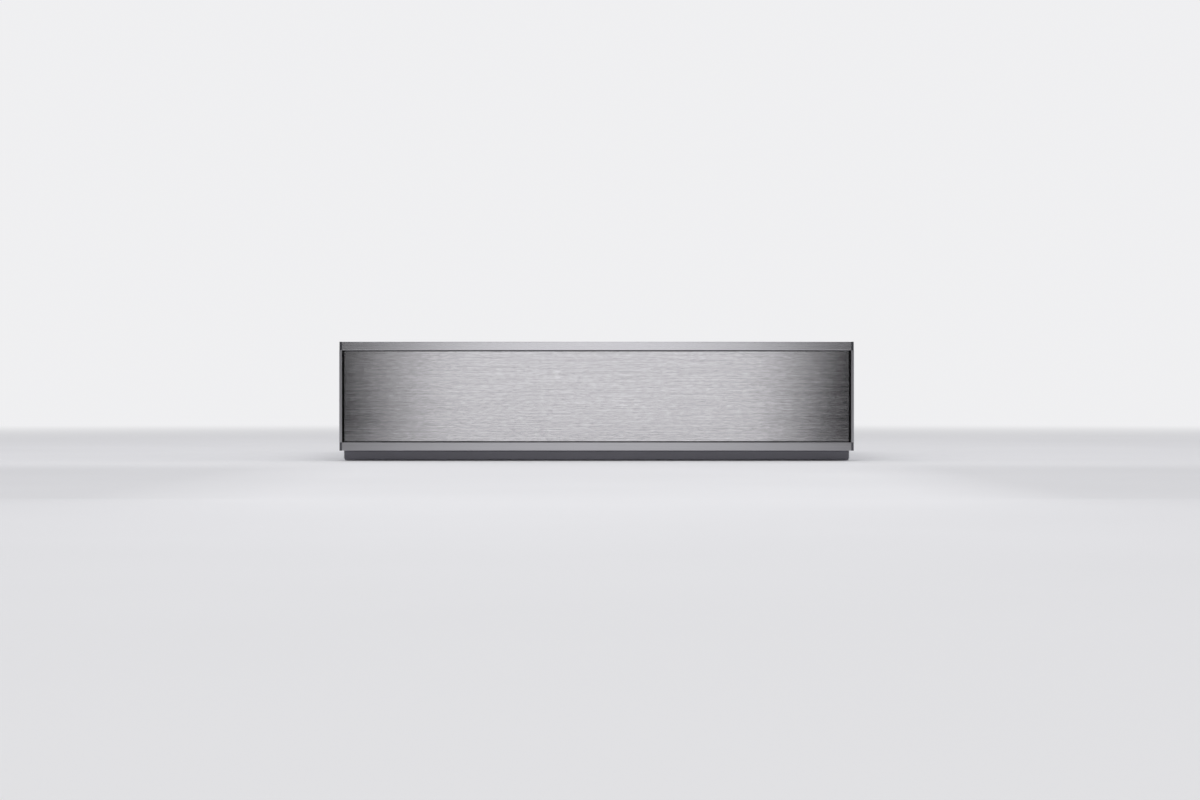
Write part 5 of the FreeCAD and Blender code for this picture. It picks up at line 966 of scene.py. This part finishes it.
for index in range(VALVES):
    y = valve_high.y - MANIFOLD_DEPTH + MANIFOLD_DEPTH * (index + 0.5) / VALVES
    for side in (-1, 1):
        inner, outer = sorted((coil_x + reach * side, coil_x + (reach + YOKE_SHEET) * side))
        leg_low = (inner, y - YOKE_WIDTH / 2, valve_low.z + MANIFOLD_HEIGHT)
        leg_high = (outer, y + YOKE_WIDTH / 2, coil_top + YOKE_SHEET)
        softened_block(yokes, leg_low, leg_high, YOKE_EDGE)
        blade_x, blade_y = coil_x + reach + YOKE_SHEET, y + side * BLADE_SPREAD
        blade_low = (blade_x, blade_y - BLADE_HALF, coil_top - BLADE_FOOT)
        blade_high = (blade_x + BLADE_LENGTH, blade_y + BLADE_HALF, coil_top - BLADE_TOP)
        softened_block(yokes, blade_low, blade_high, BLADE_EDGE)
    top_low = (coil_x - reach, y - YOKE_WIDTH / 2, coil_top)
    top_high = (coil_x + reach, y + YOKE_WIDTH / 2, coil_top + YOKE_SHEET)
    softened_block(yokes, top_low, top_high, YOKE_EDGE)
built("valve_yokes", yokes, screw_steel, "drawer", "screw_steel")


# The hoses: extruded tube of milky silicone, with a faint bloom on it. They are pushed on the barbs of the
# pump, the valves, the chamber's port and the lift of the sealing bar.
hose_silicone = Finish("hose_silicone", subsurface_weight=0.2, coat_weight=0.2)
hose_cloud = hose_silicone.noise((60, 60, 60), detail=3.0)
hose_silicone.coloured(hose_silicone.mixed(hose_cloud, tone(196, 198, 194), tone(214, 216, 212)))
hose_silicone.given("Roughness", hose_cloud * 0.2 + 0.3)
hose_silicone.bumped(hose_silicone.noise((900, 900, 900)), distance=0.00002)
finish_nodes(hose_silicone, "vacuum_hoses")


# The transformer of the sealing bar: a stack of varnished steel laminations round a copper winding, whose
# ten rows of turns stand out on both sides of the core.
LAMINATIONS_PER_METRE = 1000
CORE_WIDTH, CORE_EDGE = 0.048, 0.0012
WINDING_LENGTH, WINDING_HALF, TURN_ROWS, TURN_ROUNDING = 0.038, 0.012, 10, 0.4
core_steel = Finish("laminations", metallic=0.7)
_, _, core_up = core_steel.axes()
sheet_waves = {0: core_up * (math.tau * LAMINATIONS_PER_METRE)}
sheets = core_steel.node("Math", {"operation": "SINE"}, sheet_waves)
core_cloud = core_steel.noise((80, 80, 80), detail=3.0)
core_steel.coloured(core_steel.mixed(sheets * 0.3 + core_cloud, tone(58, 56, 56), tone(112, 108, 104)))
core_steel.given("Roughness", core_cloud * 0.2 + 0.4)
core_steel.bumped(sheets, distance=0.0001)
core_low, core_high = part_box("transformer")
core_middle = (core_low + core_high) / 2
winding_reach = Vector(((core_high.x - core_low.x - CORE_WIDTH) / 2, 0, 0))
core_form = bmesh.new()
softened_block(core_form, core_low + winding_reach, core_high - winding_reach, CORE_EDGE)
built("transformer_core", core_form, core_steel, "drawer", "transformer_steel", "transformer")
copper = lined_metal("winding_copper", tone(186, 112, 66), (60, 1400, 60), roughness=0.3, contrast=0.7)
turn_pitch = WINDING_LENGTH / TURN_ROWS
winding_form = bmesh.new()
for index in range(TURN_ROWS):
    y = core_middle.y - WINDING_LENGTH / 2 + turn_pitch * index
    turn_low = (core_low.x, y, core_middle.z - WINDING_HALF)
    turn_high = (core_high.x, y + turn_pitch, core_middle.z + WINDING_HALF)
    softened_block(winding_form, turn_low, turn_high, turn_pitch * TURN_ROUNDING, segments=3)
built("transformer_winding", winding_form, copper, "drawer", "transformer_steel")


# The power board: green laminate on brass pillars. On it stand a capacitor in a blue sleeve with a bare
# top, a row of three relays in dark cases, and a finned aluminium heat sink.
PILLAR, CAPACITOR_RADIUS, CAPACITOR_HEIGHT, CAPACITOR_INSET = 0.008, 0.011, 0.028, 0.002
power_low, power_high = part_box("power_board")
power_middle = (power_low + power_high) / 2
power_quarter = (power_high - power_low) / 4
power_top = power_low.z + PILLAR + BOARD


def power_parts(across, along, up, above, below):
    """What stands on and under the power board, given as for the control board."""
    capacitor_x = across - (power_middle.x + power_quarter.x - CAPACITOR_INSET)
    capacitor_y = along - (power_middle.y - power_quarter.y)
    off = capacitor_x * capacitor_x + capacitor_y * capacitor_y
    capacitor = off.under((CAPACITOR_RADIUS + MARGIN) ** 2)
    bare_top = up.over(power_top + CAPACITOR_HEIGHT - MARGIN)
    relays = above * across.under(power_middle.x)
    return [
        (below, tone(188, 164, 100), 0.9),
        (above, tone(168, 170, 174), 0.9),
        (relays, tone(34, 36, 40), -0.9),
        (above * capacitor, tone(26, 40, 84), -0.9),
        (capacitor * bare_top, tone(176, 178, 182), 0.9),
    ]


power_laminate = circuit_laminate("power_laminate", power_low.z + PILLAR, power_top + MARGIN, power_parts)
finish_nodes(power_laminate, "power_board")
